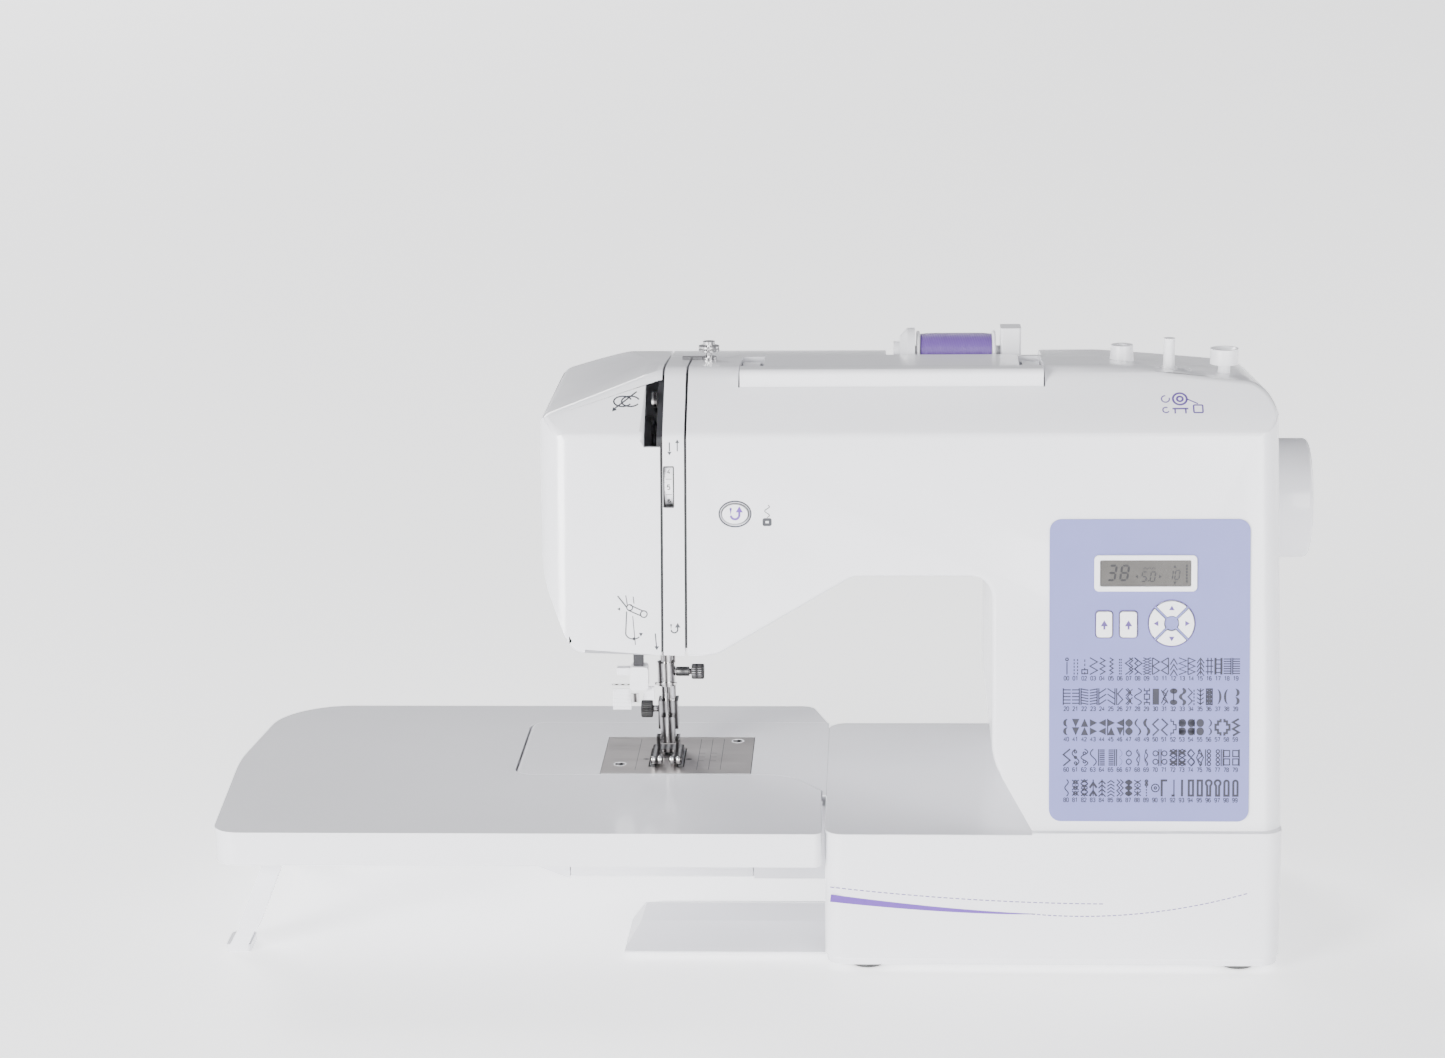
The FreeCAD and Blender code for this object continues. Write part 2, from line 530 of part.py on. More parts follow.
def shaft_bushes():
    """Bronze bushes of both shafts."""
    upper = [tube("x", SHAFT_Y, SHAFT_Z, x, 8.0, SHAFT_R + RUN) for x in BUSH_X]
    lower = [tube("x", LOWER_Y, LOWER_Z, x, 7.0, SHAFT_R + RUN) for x in LOWER_BUSH_X]
    return Part.makeCompound(upper + lower)


PULLEY_X, PULLEY_R = (168.0, 176.0), 15.0
BEVEL_R, BEVEL_GAP = 6.0, 0.25              # hook gear pitch radius; the driving gear is twice it
DRIVE_X, DRIVE_R = (188.0, 196.0), 21.0
MOTOR_Y, MOTOR_Z, MOTOR_PULLEY_R = 62.0, 60.0, 7.0
BELT_T, BELT_GAP = 2.0, 0.3


def pulley(y, z, span, radius):
    """A belt pulley with two thin flanges."""
    flange = 1.0
    core = rod("x", y, z, span, radius)
    edges = [rod("x", y, z, (x, x + flange), radius + 3) for x in (span[0] - flange, span[1])]
    return union([core] + edges)


def main_shaft():
    """Upper shaft with its timing pulley, its large motor-drive pulley and its crank."""
    shaft = rod("x", SHAFT_Y, SHAFT_Z, (-62, 240), SHAFT_R)
    wheels = [pulley(SHAFT_Y, SHAFT_Z, PULLEY_X, PULLEY_R),
              pulley(SHAFT_Y, SHAFT_Z, DRIVE_X, DRIVE_R)]
    return Part.makeCompound([union([shaft] + wheels), crank_disc()])


def crank_disc():
    """Counterweighted crank on the left end of the main shaft, with its short pin."""
    disc = rod("x", SHAFT_Y, SHAFT_Z, (-64, -54), 11)
    arm = block((-64, -54), (SHAFT_Y - 7, SHAFT_Y + 7), (SHAFT_Z, SHAFT_Z + 20))
    weight = rod("x", SHAFT_Y, SHAFT_Z, (-64, -54), 21).common(
        block((-64, -54), (100, 162), (SHAFT_Z - 25, SHAFT_Z - 5)))
    pin = rod("x", SHAFT_Y, SHAFT_Z + 15, (-68, -64), 3)
    return union([disc, arm, weight, pin]).cut(rod("x", SHAFT_Y, SHAFT_Z, (-70, -50), SHAFT_R))


def handwheel():
    """Hand wheel with a finger-grip rim, on the right end of the main shaft."""
    rim = rod("x", SHAFT_Y, SHAFT_Z, WHEEL_X, WHEEL_R)
    rim = rim.makeFillet(2.5, [e for e in rim.Edges if e.BoundBox.XMin > WHEEL_X[1] - 0.1])
    for i in range(24):
        angle = math.radians(15 * i)
        rim = rim.cut(rod("x", SHAFT_Y + (WHEEL_R + 0.6) * math.cos(angle),
                          SHAFT_Z + (WHEEL_R + 0.6) * math.sin(angle), (236, 252), 1.5))
    hollow = tube("x", SHAFT_Y, SHAFT_Z, (230, 245), WHEEL_R - 4, 11)
    hub = rod("x", SHAFT_Y, SHAFT_Z, (222, 246), 8.5)
    wheel = union([rim.cut(hollow), hub])
    return wheel.cut(rod("x", SHAFT_Y, SHAFT_Z, (200, 240), SHAFT_R))


def lower_shaft():
    """Lower shaft with its timing pulley and the bevel gear of the hook drive."""
    shaft = rod("x", LOWER_Y, LOWER_Z, (NEEDLE_X + 6, 182), SHAFT_R)
    bevel = cone("x", LOWER_Y, LOWER_Z, (NEEDLE_X + 4, NEEDLE_X + 6),
                 2 * BEVEL_R - 4 - BEVEL_GAP, 2 * BEVEL_R - BEVEL_GAP)
    hub = rod("x", LOWER_Y, LOWER_Z, (NEEDLE_X + 6, NEEDLE_X + 12), 7.0)
    return union([shaft, bevel, hub, pulley(LOWER_Y, LOWER_Z, PULLEY_X, PULLEY_R)])


def belt(span, y0, z0, r0, y1, z1, r1):
    """A belt loop round two wheels: the hull of two discs less the hull of two smaller."""
    def loop(grow):
        a, b = r0 + grow, r1 + grow
        length = math.hypot(y1 - y0, z1 - z0)
        direction = math.atan2(z1 - z0, y1 - y0)
        tilt = math.acos((a - b) / length)
        points = []
        for sign in (1, -1):
            angle = direction + sign * tilt
            across = Vector(0, math.cos(angle), math.sin(angle))
            points.append(Vector(span[0], y0, z0) + across * a)
            points.append(Vector(span[0], y1, z1) + across * b)
        quad = [points[0], points[1], points[3], points[2], points[0]]
        middle = Part.Face(Part.makePolygon(quad)).extrude(Vector(span[1] - span[0], 0, 0))
        return union([middle, rod("x", y0, z0, span, a), rod("x", y1, z1, span, b)])
    return loop(BELT_GAP + BELT_T).cut(loop(BELT_GAP))


def drive_belts():
    """Timing belt between the two shafts and the belt from the motor."""
    timing = belt((PULLEY_X[0] + 0.5, PULLEY_X[1] - 0.5), SHAFT_Y, SHAFT_Z, PULLEY_R,
                  LOWER_Y, LOWER_Z, PULLEY_R)
    motor = belt((DRIVE_X[0] + 0.5, DRIVE_X[1] - 0.5), SHAFT_Y, SHAFT_Z, DRIVE_R,
                 MOTOR_Y, MOTOR_Z, MOTOR_PULLEY_R)
    return Part.makeCompound([timing, motor])


def drive_motor():
    """Motor can on its foot in the base."""
    can = rod("x", MOTOR_Y, MOTOR_Z, (126, 184), 25)
    foot = block((132, 178), (MOTOR_Y - 18, MOTOR_Y + 18), (BASE_Z[0], 40))
    return union([can, foot]).cut(rod("x", MOTOR_Y, MOTOR_Z, (170, 190), 3.0 + RUN))


def motor_pulley():
    """Motor shaft end with its small pulley."""
    shaft = rod("x", MOTOR_Y, MOTOR_Z, (172, 200), 3.0)
    return union([shaft, pulley(MOTOR_Y, MOTOR_Z, DRIVE_X, MOTOR_PULLEY_R)])


# ---------------------------------------------------------------- hook and feed
RACE_Y, RACE_R, HOOK_R = (134.0, 144.4), 21.0, 17.0


def hook_race():
    """Fixed ring that the hook turns in."""
    return tube("y", NEEDLE_X, LOWER_Z, RACE_Y, RACE_R, HOOK_R + RUN)


def shuttle_hook():
    """Rotary hook: a rim with its point, a back wall, a shaft and the driven bevel gear."""
    cup = rod("y", NEEDLE_X, LOWER_Z, (134.4, 144.0), HOOK_R)
    cup = cup.cut(rod("y", NEEDLE_X, LOWER_Z, (130, 141.5), HOOK_R - 3))
    relief = rod("y", NEEDLE_X + 14, LOWER_Z + 14, (133, 141.5), 8)
    shaft = rod("y", NEEDLE_X, LOWER_Z, (144.0, 151), 3.5)
    mouth = LOWER_Y - 2 * BEVEL_R
    bevel = cone("y", NEEDLE_X, LOWER_Z, (mouth, mouth + 4), BEVEL_R - BEVEL_GAP,
                 BEVEL_R - 2 - BEVEL_GAP)
    return union([cup.cut(relief), shaft, bevel])


def bobbin_case():
    """Bobbin case: an open cup with a latch on its front, held in the hook."""
    case = rod("y", NEEDLE_X, LOWER_Z, (116, 141.0), 12.5)
    case = case.cut(rod("y", NEEDLE_X, LOWER_Z, (118, 142), 11.6))
    latch = slab((NEEDLE_X - 5, NEEDLE_X + 11), (113.5, 116), (LOWER_Z - 4, LOWER_Z + 4), 2, "y")
    post = rod("y", NEEDLE_X, LOWER_Z, (116, 134), 2.4)
    return union([case, latch, post])


def bobbin():
    """Bobbin with its thread, free on the case post."""
    flanges = [rod("y", NEEDLE_X, LOWER_Z, y, 10.3) for y in ((119, 120), (129.5, 130.5))]
    core = rod("y", NEEDLE_X, LOWER_Z, (120, 129.5), 8.2)
    return union(flanges + [core]).cut(rod("y", NEEDLE_X, LOWER_Z, (110, 140), 2.6))


FEED_ROWS = ((-99.0, 116.0, 144.0), (-83.5, 116.0, 144.0), (-91.2, 137.0, 147.0))
FEED_W = 2.6


def feed_slots():
    """Openings of the needle plate over the feed teeth, and the needle slot."""
    cuts = [block((x - 0.7, x + FEED_W + 0.7), (a - 3, b + 3), (60, 90))
            for x, a, b in FEED_ROWS]
    cuts.append(slab((NEEDLE_X - 4.2, NEEDLE_X + 4.2), (NEEDLE_Y - 1, NEEDLE_Y + 1), (60, 90), 0.9))
    return cuts


def feed_dogs():
    """Toothed feed bars on their carrier."""
    carrier = block((-100, -80), (110, 152), (68.0, 70.5))
    carrier = carrier.cut(block((-95.5, -84.5), (124, 135), (60, 80)))
    solids = [carrier]
    for x, a, b in FEED_ROWS:
        solids.append(block((x, x + FEED_W), (a, b), (70.5, 75.0)))
        count = int((b - a) / 2)
        for i in range(count):
            y = a + 2 * i
            tooth = Part.Face(Part.makePolygon([
                Vector(x, y, 75.0), Vector(x, y + 2, 75.0), Vector(x, y + 1.6, 75.7),
                Vector(x, y, 75.0)])).extrude(Vector(FEED_W, 0, 0))
            solids.append(tooth)
    return union(solids)


def needle_plate():
    """Steel needle plate with feed slots and two countersunk screw holes."""
    plate = slab(PLATE_X, PLATE_Y, (BED_Z - PLATE_T, BED_Z), 1.5)
    for cut in feed_slots():
        plate = plate.cut(cut)
    for x, y in PLATE_SCREWS:
        plate = plate.cut(rod("z", x, y, (60, 90), 3.6))
    return plate


PLATE_SCREWS = ((-115.4, 117.9), (-52.6, 160.7))
BASE_SCREWS = ((60.0, 20.0), (170.0, 20.0), (60.0, 176.0), (170.0, 176.0))


def screw(x, y, top, head_r, length, up):
    """A slotted screw with its head at top, pointing down when up is 1."""
    head = rod("z", x, y, tuple(sorted((top, top - up * 1.6))), head_r)
    shank = rod("z", x, y, tuple(sorted((top - up * 1.6, top - up * length))), 1.6)
    slot = block((x - head_r, x + head_r), (y - 0.4, y + 0.4),
                 tuple(sorted((top + up, top - up * 0.7))))
    return union([head, shank]).cut(slot)


def screws():
    """Needle plate screws and the screws that hold the bottom plate."""
    plate = [screw(x, y, BED_Z, 3.5, 2.9, 1) for x, y in PLATE_SCREWS]
    return Part.makeCompound(plate + [bottom_screw(x, y) for x, y in BASE_SCREWS])


def bottom_screw(x, y):
    """A pan-head screw under the bottom plate."""
    head = cone("z", x, y, (FOOT_H - 1.8, FOOT_H), 2.6, 3.6)
    cross = block((x - 2, x + 2), (y - 0.4, y + 0.4), (0, FOOT_H - 1))
    return head.cut(cross)


# ---------------------------------------------------------------- needle, presser, take-up
PRESSER_Y = 147.0
LIFTER_X, LIFTER_Z = -100.0, 186.0
CLAMP_Z = (116.5, 129.5)
NEEDLE_TIP_Z = 84.0


def needle_bar():
    """Needle bar with its driving block, the link that the crank pushes, and its clamp."""
    bar = rod("z", NEEDLE_X, NEEDLE_Y, (CLAMP_Z[0] + 2, 258), 3.2)
    driver = block((-94, -76), (126.5, 135.5), (216, 226))
    link = block((-76, -71), (127.5, 134.5), (216, 236))
    eye = tube("x", SHAFT_Y, SHAFT_Z + 15, (-76, -71), 6.5, 3.3)
    link = link.cut(rod("x", SHAFT_Y, SHAFT_Z + 15, (-80, -60), 3.3))
    return Part.makeCompound([union([bar, driver, link, eye]), needle_clamp()])


def needle_clamp():
    """Clamp on the needle bar with its knurled thumb screw to the right."""
    body = rod("z", NEEDLE_X, NEEDLE_Y, CLAMP_Z, 5.0)
    body = body.cut(rod("z", NEEDLE_X, NEEDLE_Y, (CLAMP_Z[0] + 2, 140), 3.2))
    body = body.cut(rod("z", NEEDLE_X, NEEDLE_Y, (100, 140), 1.1))
    screw_shank = rod("x", NEEDLE_Y, 124, (-85.6, -76), 1.6)
    knob = rod("x", NEEDLE_Y, 124, (-76, -69.5), 4.0)
    guide = block((-96, -84), (125.4, 127), (118, 119))
    return union([body, screw_shank, knob, guide])


def needle():
    """Needle with a thick shank, a thin blade and a point."""
    shank = rod("z", NEEDLE_X, NEEDLE_Y, (112, CLAMP_Z[0] + 2), 1.1)
    blade = rod("z", NEEDLE_X, NEEDLE_Y, (NEEDLE_TIP_Z + 3, 112), 0.55)
    point = cone("z", NEEDLE_X, NEEDLE_Y, (NEEDLE_TIP_Z, NEEDLE_TIP_Z + 3), 0.08, 0.55)
    return union([shank, blade, point])


def presser_bar():
    """Presser bar with the foot holder and its thumb screw to the left."""
    bar = rod("z", NEEDLE_X, PRESSER_Y, (90, 248), 4.0)
    holder = block((-95.5, -84.5), (141, 152), (88, 104))
    shoe = block((-94, -86), (136.4, 141.4), (81.2, 96))
    shoe = shoe.cut(rod("x", FOOT_PIN_Y, FOOT_PIN_Z, (-100, -80), 1.2 + RUN))
    thumb_shank = rod("x", PRESSER_Y, 98, (-99, -95.5), 1.8)
    thumb = rod("x", PRESSER_Y, 98, (-105, -99), 4.6)
    bracket = block((-98, -82), (141, 153), (192, 198))
    cam_arm = block((-97, -93), (153, 164), (192, 198))
    return union([bar, holder, shoe, thumb_shank, thumb, bracket, cam_arm])


FOOT_PIN_Y, FOOT_PIN_Z = 138.6, 83.2


def presser_foot():
    """Zigzag foot: two toes, a bridge and the snap-on neck on its pin."""
    sole = slab((-98.5, -81.5), (114, 143.5), (76.5, 78.5), 2.0)
    slot = slab((NEEDLE_X - 3.8, NEEDLE_X + 3.8), (NEEDLE_Y - 7, NEEDLE_Y + 3.2), (70, 90), 1.4)
    toe_gap = block((-92, -88), (110, 126), (70, 90))
    curl = [block(x, (112.6, 114.6), (77.2, 80.6)) for x in ((-97.5, -92.5), (-87.5, -82.5))]
    ears = [block(x, (136, 142), (78.2, 85)) for x in ((-96.5, -94.3), (-85.7, -83.5))]
    pin = rod("x", FOOT_PIN_Y, FOOT_PIN_Z, (-96.5, -83.5), 1.2)
    return union([sole.cut(slot).cut(toe_gap)] + curl + ears + [pin])


def presser_lifter():
    """Lifting lever on the back of the head, with its cam beside the presser bar."""
    axle = rod("y", LIFTER_X, LIFTER_Z, (158.6, 184), 5.0)
    cam = slab((LIFTER_X - 4, LIFTER_X + 16), (158.6, 163), (LIFTER_Z - 5, LIFTER_Z + 5), 4, "y")
    paddle = prism([(LIFTER_X - 6, LIFTER_Z + 6, 4), (LIFTER_X + 6, LIFTER_Z + 6, 4),
                    (LIFTER_X + 28, LIFTER_Z - 40, 5), (LIFTER_X + 16, LIFTER_Z - 46, 5)],
                   "y", (178.5, 184))
    return union([axle, cam, paddle])


def take_up_lever():
    """Take-up lever: a hub inside the head and an arm whose eye shows in its opening."""
    hub = rod("x", TAKE_UP_Y, TAKE_UP_Z, (-92, -86), 6)
    tip_y = TAKE_UP_Y - TAKE_UP_R * math.cos(TAKE_UP_ANGLE)
    tip_z = TAKE_UP_Z + TAKE_UP_R * math.sin(TAKE_UP_ANGLE)
    across = Vector(0, math.sin(TAKE_UP_ANGLE), math.cos(TAKE_UP_ANGLE)) * 3.0
    root, tip = Vector(-90.2, TAKE_UP_Y, TAKE_UP_Z), Vector(-90.2, tip_y, tip_z)
    corners = [root + across, root - across, tip - across * 0.9, tip + across * 0.9]
    arm = Part.Face(Part.makePolygon(corners + corners[:1])).extrude(Vector(2.4, 0, 0))
    eye = rod("x", tip_y, tip_z, (-90.2, -87.8), 4.2)
    lever = union([hub, arm, eye])
    lever = lever.cut(rod("x", tip_y, tip_z, (-100, -80), 1.8))
    return lever.cut(rod("x", TAKE_UP_Y, TAKE_UP_Z, (-100, -80), 2.5 + RUN))


TAKE_UP_Y, TAKE_UP_Z, TAKE_UP_R, TAKE_UP_ANGLE = 108.0, 264.0, 58.0, math.radians(27)


def needle_threader():
    """Push-down needle threader left of the needle bar."""
    stem = block((-106.5, -102), (117, 121), (128, 196))
    head = slab((-109, -99), (114, 124), (118, 131), 2, "y")
    lever = block((-116, -106), (116, 121), (126, 130))
    hook = block((-102, -96), (117, 119), (112, 119))
    return union([stem, head, lever, hook])


DIAL_X, DIAL_Z, DIAL_R = (-83.0, -78.8), 250.0, 13.0
DIAL_Y = FACE_Y0 + (DIAL_Z - FACE_Z0) * math.tan(LEAN) + DIAL_R - 0.2


def tension_dial():
    """Numbered thread tension wheel whose rim shows in the strip's window."""
    wheel = rod("x", DIAL_Y, DIAL_Z, DIAL_X, DIAL_R)
    for i in range(30):
        angle = math.radians(12 * i)
        wheel = wheel.cut(rod("x", DIAL_Y + DIAL_R * math.cos(angle),
                              DIAL_Z + DIAL_R * math.sin(angle), (-83.5, -82.2), 0.5))
    return wheel.cut(rod("x", DIAL_Y, DIAL_Z, (-90, -70), 3.0 + RUN))


def tension_discs():
    """Tension post with its two polished discs behind the right slot."""
    post = rod("x", DIAL_Y, DIAL_Z, (-85, -62), 3.0)
    discs = [cone("x", DIAL_Y, DIAL_Z, (-76.0, -74.6), 7.4, 6.4),
             cone("x", DIAL_Y, DIAL_Z, (-74.2, -72.8), 6.4, 7.4)]
    stand = block((-66, -62), (DIAL_Y - 5, 104), (DIAL_Z - 5, DIAL_Z + 5))
    return union([post] + discs + [stand])


# ---------------------------------------------------------------- top fittings
def thread_guide():
    """Chrome pretension guide: a post, two discs and a cap on the head's top."""
    x, y, z = GUIDE_X, GUIDE_Y, GUIDE_Z
    post = rod("z", x, y, (z - 3.5, z + 9), 1.6)
    discs = [rod("z", x, y, (z + a, z + a + 1.0), 5.5) for a in (4.4, 6.2)]
    cap = rod("z", x, y, (z + 8, z + 9.6), 3.2)
    hook = block((x - 14, x - 3), (y - 2, y + 2), (z, z + 1.4))
    foot = rod("z", x, y, (z, z + 1.4), 4.0)
    return union([post, cap, hook, foot] + discs)


def spool_pin():
    """Post and horizontal pin of the spool holder."""
    post = slab((91, 102), (136, 150), (SPOOL_FLOOR, 312.5), 1.5)
    pin = rod("x", SPOOL_AXIS_Y, SPOOL_AXIS_Z, (36, 92), 2.6)
    return union([post, pin])


def spool_cap():
    """Round cap that holds the spool on its pin."""
    disc = rod("x", SPOOL_AXIS_Y, SPOOL_AXIS_Z, (41.5, 45.5), 12.2)
    slope = cone("x", SPOOL_AXIS_Y, SPOOL_AXIS_Z, (37.5, 41.5), 8.0, 12.2)
    dome = rod("x", SPOOL_AXIS_Y, SPOOL_AXIS_Z, (34, 37.5), 5.0)
    return union([disc, slope, dome]).cut(rod("x", SPOOL_AXIS_Y, SPOOL_AXIS_Z, (36, 50), 2.6))


def thread_spool():
    """Spool of thread, free to turn on the pin."""
    ends = [rod("x", SPOOL_AXIS_Y, SPOOL_AXIS_Z, x, 10.6) for x in ((46.2, 48.4), (86.0, 88.6))]
    wound = rod("x", SPOOL_AXIS_Y, SPOOL_AXIS_Z, (48.4, 86.0), 9.4)
    return union(ends + [wound]).cut(rod("x", SPOOL_AXIS_Y, SPOOL_AXIS_Z, (30, 95), 3.1))


def winder_arm():
    """Sliding arm under the top cover that carries the bobbin winder spindle."""
    arm = slab((166, 187), (82, 98), (276, 281), 4)
    collar = rod("z", WINDER_X, WINDER_Y, (281, 296), 4.0)
    return union([arm, collar]).cut(rod("z", WINDER_X, WINDER_Y, (270, 300), 1.8 + RUN))


def winder_spindle():
    """Bobbin winder spindle with its small cap and the friction tyre below."""
    shaft = rod("z", WINDER_X, WINDER_Y, (272, 297), 1.8)
    collar = rod("z", WINDER_X, WINDER_Y, (296.3, 300.4), 4.4)
    tyre = rod("z", WINDER_X, WINDER_Y, (268, 275.6), 9.0)
    post = rod("z", WINDER_X, WINDER_Y, (300.4, 315.5), 3.0)
    return union([shaft, collar, tyre, post])


def winder_stop():
    """Bobbin winder stop knob and the socket of the second spool pin."""
    stem = rod("z", STOP_X, WINDER_Y, (288, 303), 3.2)
    knob = rod("z", STOP_X, WINDER_Y, (302, 310), 7.3)
    dish = cone("z", STOP_X, WINDER_Y, (307.5, 310.1), 3.5, 6.3)
    spare = [rod("z", SPARE_X, SPARE_Y, (SPARE_Z - 3, SPARE_Z + 1), 3.0),
             cone("z", SPARE_X, SPARE_Y, (SPARE_Z, 308.6), 6.4, 5.7)]
    spare_hole = rod("z", SPARE_X, SPARE_Y, (302, 309), 2.6)
    return Part.makeCompound([union([stem, knob]).cut(dish), union(spare).cut(spare_hole)])


def carry_handle():
    """Fold-down carrying handle: a grip bar and two arms that turn on side pins."""
    x = (HANDLE_X[0] + 0.8, HANDLE_X[1] - 0.8)
    bar = slab(x, HANDLE_BAR_Y, (293.0, 305.5), 3.0, "x")
    arms = [slab((a, a + 9), (59, HANDLE_PIN_Y + 4), (292.0, 299.5), 3.4, "x")
            for a in (x[0], x[1] - 9)]
    pins = [rod("x", HANDLE_PIN_Y, HANDLE_PIN_Z, (a, a + 2.4), 2.0)
            for a in (HANDLE_X[0] - 1.4, HANDLE_X[1] - 1.0)]
    return union([bar] + arms + pins)


# ---------------------------------------------------------------- electrics and small parts
SWITCH_Y, SWITCH_Z = (138.0, 150.0), (34.0, 54.0)
INLET_Y, INLET_Z = (158.0, 184.0), (28.0, 52.0)
FEED_LEVER_X = -60.0
LAMP_X, LAMP_Y = (-126.5, -116.5), (124.0, 140.0)


def power_switch():
    """Rocker of the power and light switch."""
    rocker = prism([(226.5, SWITCH_Z[0] + 1, 0.8), (231.8, SWITCH_Z[0] + 0.5, 1), (234.2, 52.8, 1),
                    (226.5, 53.0, 0.8)], "y", SWITCH_Y)
    pivot = rod("y", 227.0, 44.0, (SWITCH_Y[0], SWITCH_Y[1]), 3.0)
    return union([rocker, pivot])


def inlet_socket():
    """Mains and foot-control inlet with its open contact cavity."""
    body = block((212, 231.0), (INLET_Y[0] + 0.2, INLET_Y[1] - 0.2), (INLET_Z[0] + 0.2, INLET_Z[1] - 0.2))
    cavity = block((218, 240), (INLET_Y[0] + 4, INLET_Y[1] - 4), (INLET_Z[0] + 6, INLET_Z[1] - 6))
    pins = [rod("x", y, 40, (216, 227), 1.2) for y in (165, 171, 177)]
    return union([body.cut(cavity)] + pins)


def lamp():
    """Sewing light: a small lens in the bottom of the head, with its board."""
    lens = slab(LAMP_X, LAMP_Y, (166.5, 170.5), 2)
    board = block((LAMP_X[0] - 1, LAMP_X[1] + 1), (LAMP_Y[0] - 4, LAMP_Y[1] + 4), (170.5, 172))
    return union([lens, board])


def feed_drop_lever():
    """Sliding lever on the back of the free arm that lowers the feed dogs."""
    knob = slab((FEED_LEVER_X - 3, FEED_LEVER_X + 3), (188, 200), (37.4, 42.6), 1.5, "y")
    plate = block((FEED_LEVER_X - 14, FEED_LEVER_X + 10), (188, 190), (33, 47))
    return union([knob, plate])


NODES = {
    "bottom_plate": bottom_plate, "rubber_feet": rubber_feet, "base_cover": base_cover,
    "front_cover": front_cover, "rear_cover": rear_cover, "face_cover": face_cover,
    "thread_strip": thread_strip, "slot_liner": slot_liner, "control_panel": control_panel,
    "lcd_bezel": lcd_bezel, "lcd_screen": lcd_screen,
    "mode_button_left": lambda: rounded_button(MODE_X[0], MODE_Z),
    "mode_button_right": lambda: rounded_button(MODE_X[1], MODE_Z),
    "arrow_button_up": lambda: arrow_button(0), "arrow_button_left": lambda: arrow_button(1),
    "arrow_button_down": lambda: arrow_button(2), "arrow_button_right": lambda: arrow_button(3),
    "reverse_button": reverse_button, "free_arm_cover": free_arm_cover,
    "bobbin_cover": bobbin_cover, "needle_plate": needle_plate, "screws": screws,
    "cast_frame": cast_frame, "shaft_bushes": shaft_bushes, "main_shaft": main_shaft,
    "handwheel": handwheel, "lower_shaft": lower_shaft,
    "drive_belts": drive_belts, "drive_motor": drive_motor, "motor_pulley": motor_pulley,
    "hook_race": hook_race, "shuttle_hook": shuttle_hook, "bobbin_case": bobbin_case,
    "bobbin": bobbin, "feed_dogs": feed_dogs, "needle_bar": needle_bar,
    "needle": needle, "presser_bar": presser_bar,
    "presser_foot": presser_foot, "presser_lifter": presser_lifter,
    "take_up_lever": take_up_lever, "lamp": lamp, "feed_drop_lever": feed_drop_lever,
    "needle_threader": needle_threader, "tension_dial": tension_dial,
    "tension_discs": tension_discs, "circuit_boards": circuit_boards,
    "power_switch": power_switch, "inlet_socket": inlet_socket, "thread_guide": thread_guide,
    "spool_pin": spool_pin, "spool_cap": spool_cap, "thread_spool": thread_spool,
    "winder_arm": winder_arm, "winder_spindle": winder_spindle, "winder_stop": winder_stop,
    "carry_handle": carry_handle, "extension_table": extension_table,
    "table_leg_front": lambda: table_leg(LEG_Y[0]), "table_leg_rear": lambda: table_leg(LEG_Y[1]),
}

for node, make in NODES.items():
    shape = make()
    shape.translate(Vector(-FOOTPRINT_X, -FOOTPRINT_Y, 0))
    shape.exportStep("parts/" + node + ".step")
    box = shape.BoundBox
    print(f"{node:20s} {len(shape.Solids):3d} solids, valid {shape.isValid()}, "
          f"x {box.XMin:.1f}..{box.XMax:.1f} y {box.YMin:.1f}..{box.YMax:.1f} "
          f"z {box.ZMin:.1f}..{box.ZMax:.1f}")
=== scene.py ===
"""Looks of a free-arm sewing machine with its extension table.

Lengths below are in millimetres in the maker's drawing frame: +X right, +Y back, +Z up, Y = 0 on
the front of the base and Z = 0 on the floor.  placed() turns them into the row frame's metres.
"""

import json
import math

import bmesh
import bpy
import numpy as np
from mathutils import Matrix, Vector


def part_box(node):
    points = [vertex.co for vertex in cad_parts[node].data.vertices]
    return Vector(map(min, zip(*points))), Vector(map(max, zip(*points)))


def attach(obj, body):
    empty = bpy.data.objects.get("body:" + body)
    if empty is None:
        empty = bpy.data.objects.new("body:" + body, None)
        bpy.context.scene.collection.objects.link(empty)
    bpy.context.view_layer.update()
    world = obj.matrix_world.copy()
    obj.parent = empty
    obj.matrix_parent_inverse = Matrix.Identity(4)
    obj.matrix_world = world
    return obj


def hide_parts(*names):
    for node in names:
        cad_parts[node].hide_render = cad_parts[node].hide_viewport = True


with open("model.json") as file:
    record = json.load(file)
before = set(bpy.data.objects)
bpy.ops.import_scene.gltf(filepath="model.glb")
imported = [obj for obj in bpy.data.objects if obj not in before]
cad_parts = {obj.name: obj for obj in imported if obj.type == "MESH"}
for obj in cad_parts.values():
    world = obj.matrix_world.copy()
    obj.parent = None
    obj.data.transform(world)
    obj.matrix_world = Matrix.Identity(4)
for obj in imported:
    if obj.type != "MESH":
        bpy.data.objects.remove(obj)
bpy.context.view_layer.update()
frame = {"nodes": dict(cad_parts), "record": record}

# ---------------------------------------------------------------- places taken from the CAD
BASE_LOW = np.array((-2.0, 0.0, 8.0))            # low corner of the base cover in the drawing
SHIFT = np.array(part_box("base_cover")[0]) * 1000 - BASE_LOW
LEAN = math.atan2(32.0, 200.0)                   # the front face leans back by this
FACE_FOOT = (4.0, 76.0)                          # y, z of the foot of the leaning front face
SHOULDER = math.atan2(29.5, 30.0)                # slope of the shoulder above the front face
SHOULDER_FOOT = (36.0, 276.0)
PROUD = 0.05                                     # printed marks stand this far out


def drawing_box(node):
    """Low and high corner of a CAD node in the drawing frame, as two arrays."""
    low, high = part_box(node)
    return np.array(low) * 1000 - SHIFT, np.array(high) * 1000 - SHIFT


def node_points(node):
    """All vertices of a CAD node in the drawing frame."""
    mesh = frame["nodes"][node].data
    flat = np.empty(len(mesh.vertices) * 3)
    mesh.vertices.foreach_get("co", flat)
    return flat.reshape(-1, 3) * 1000 - SHIFT


def placed(points):
    """Drawing millimetres to row-frame metres."""
    return (np.asarray(points, float) + SHIFT) / 1000


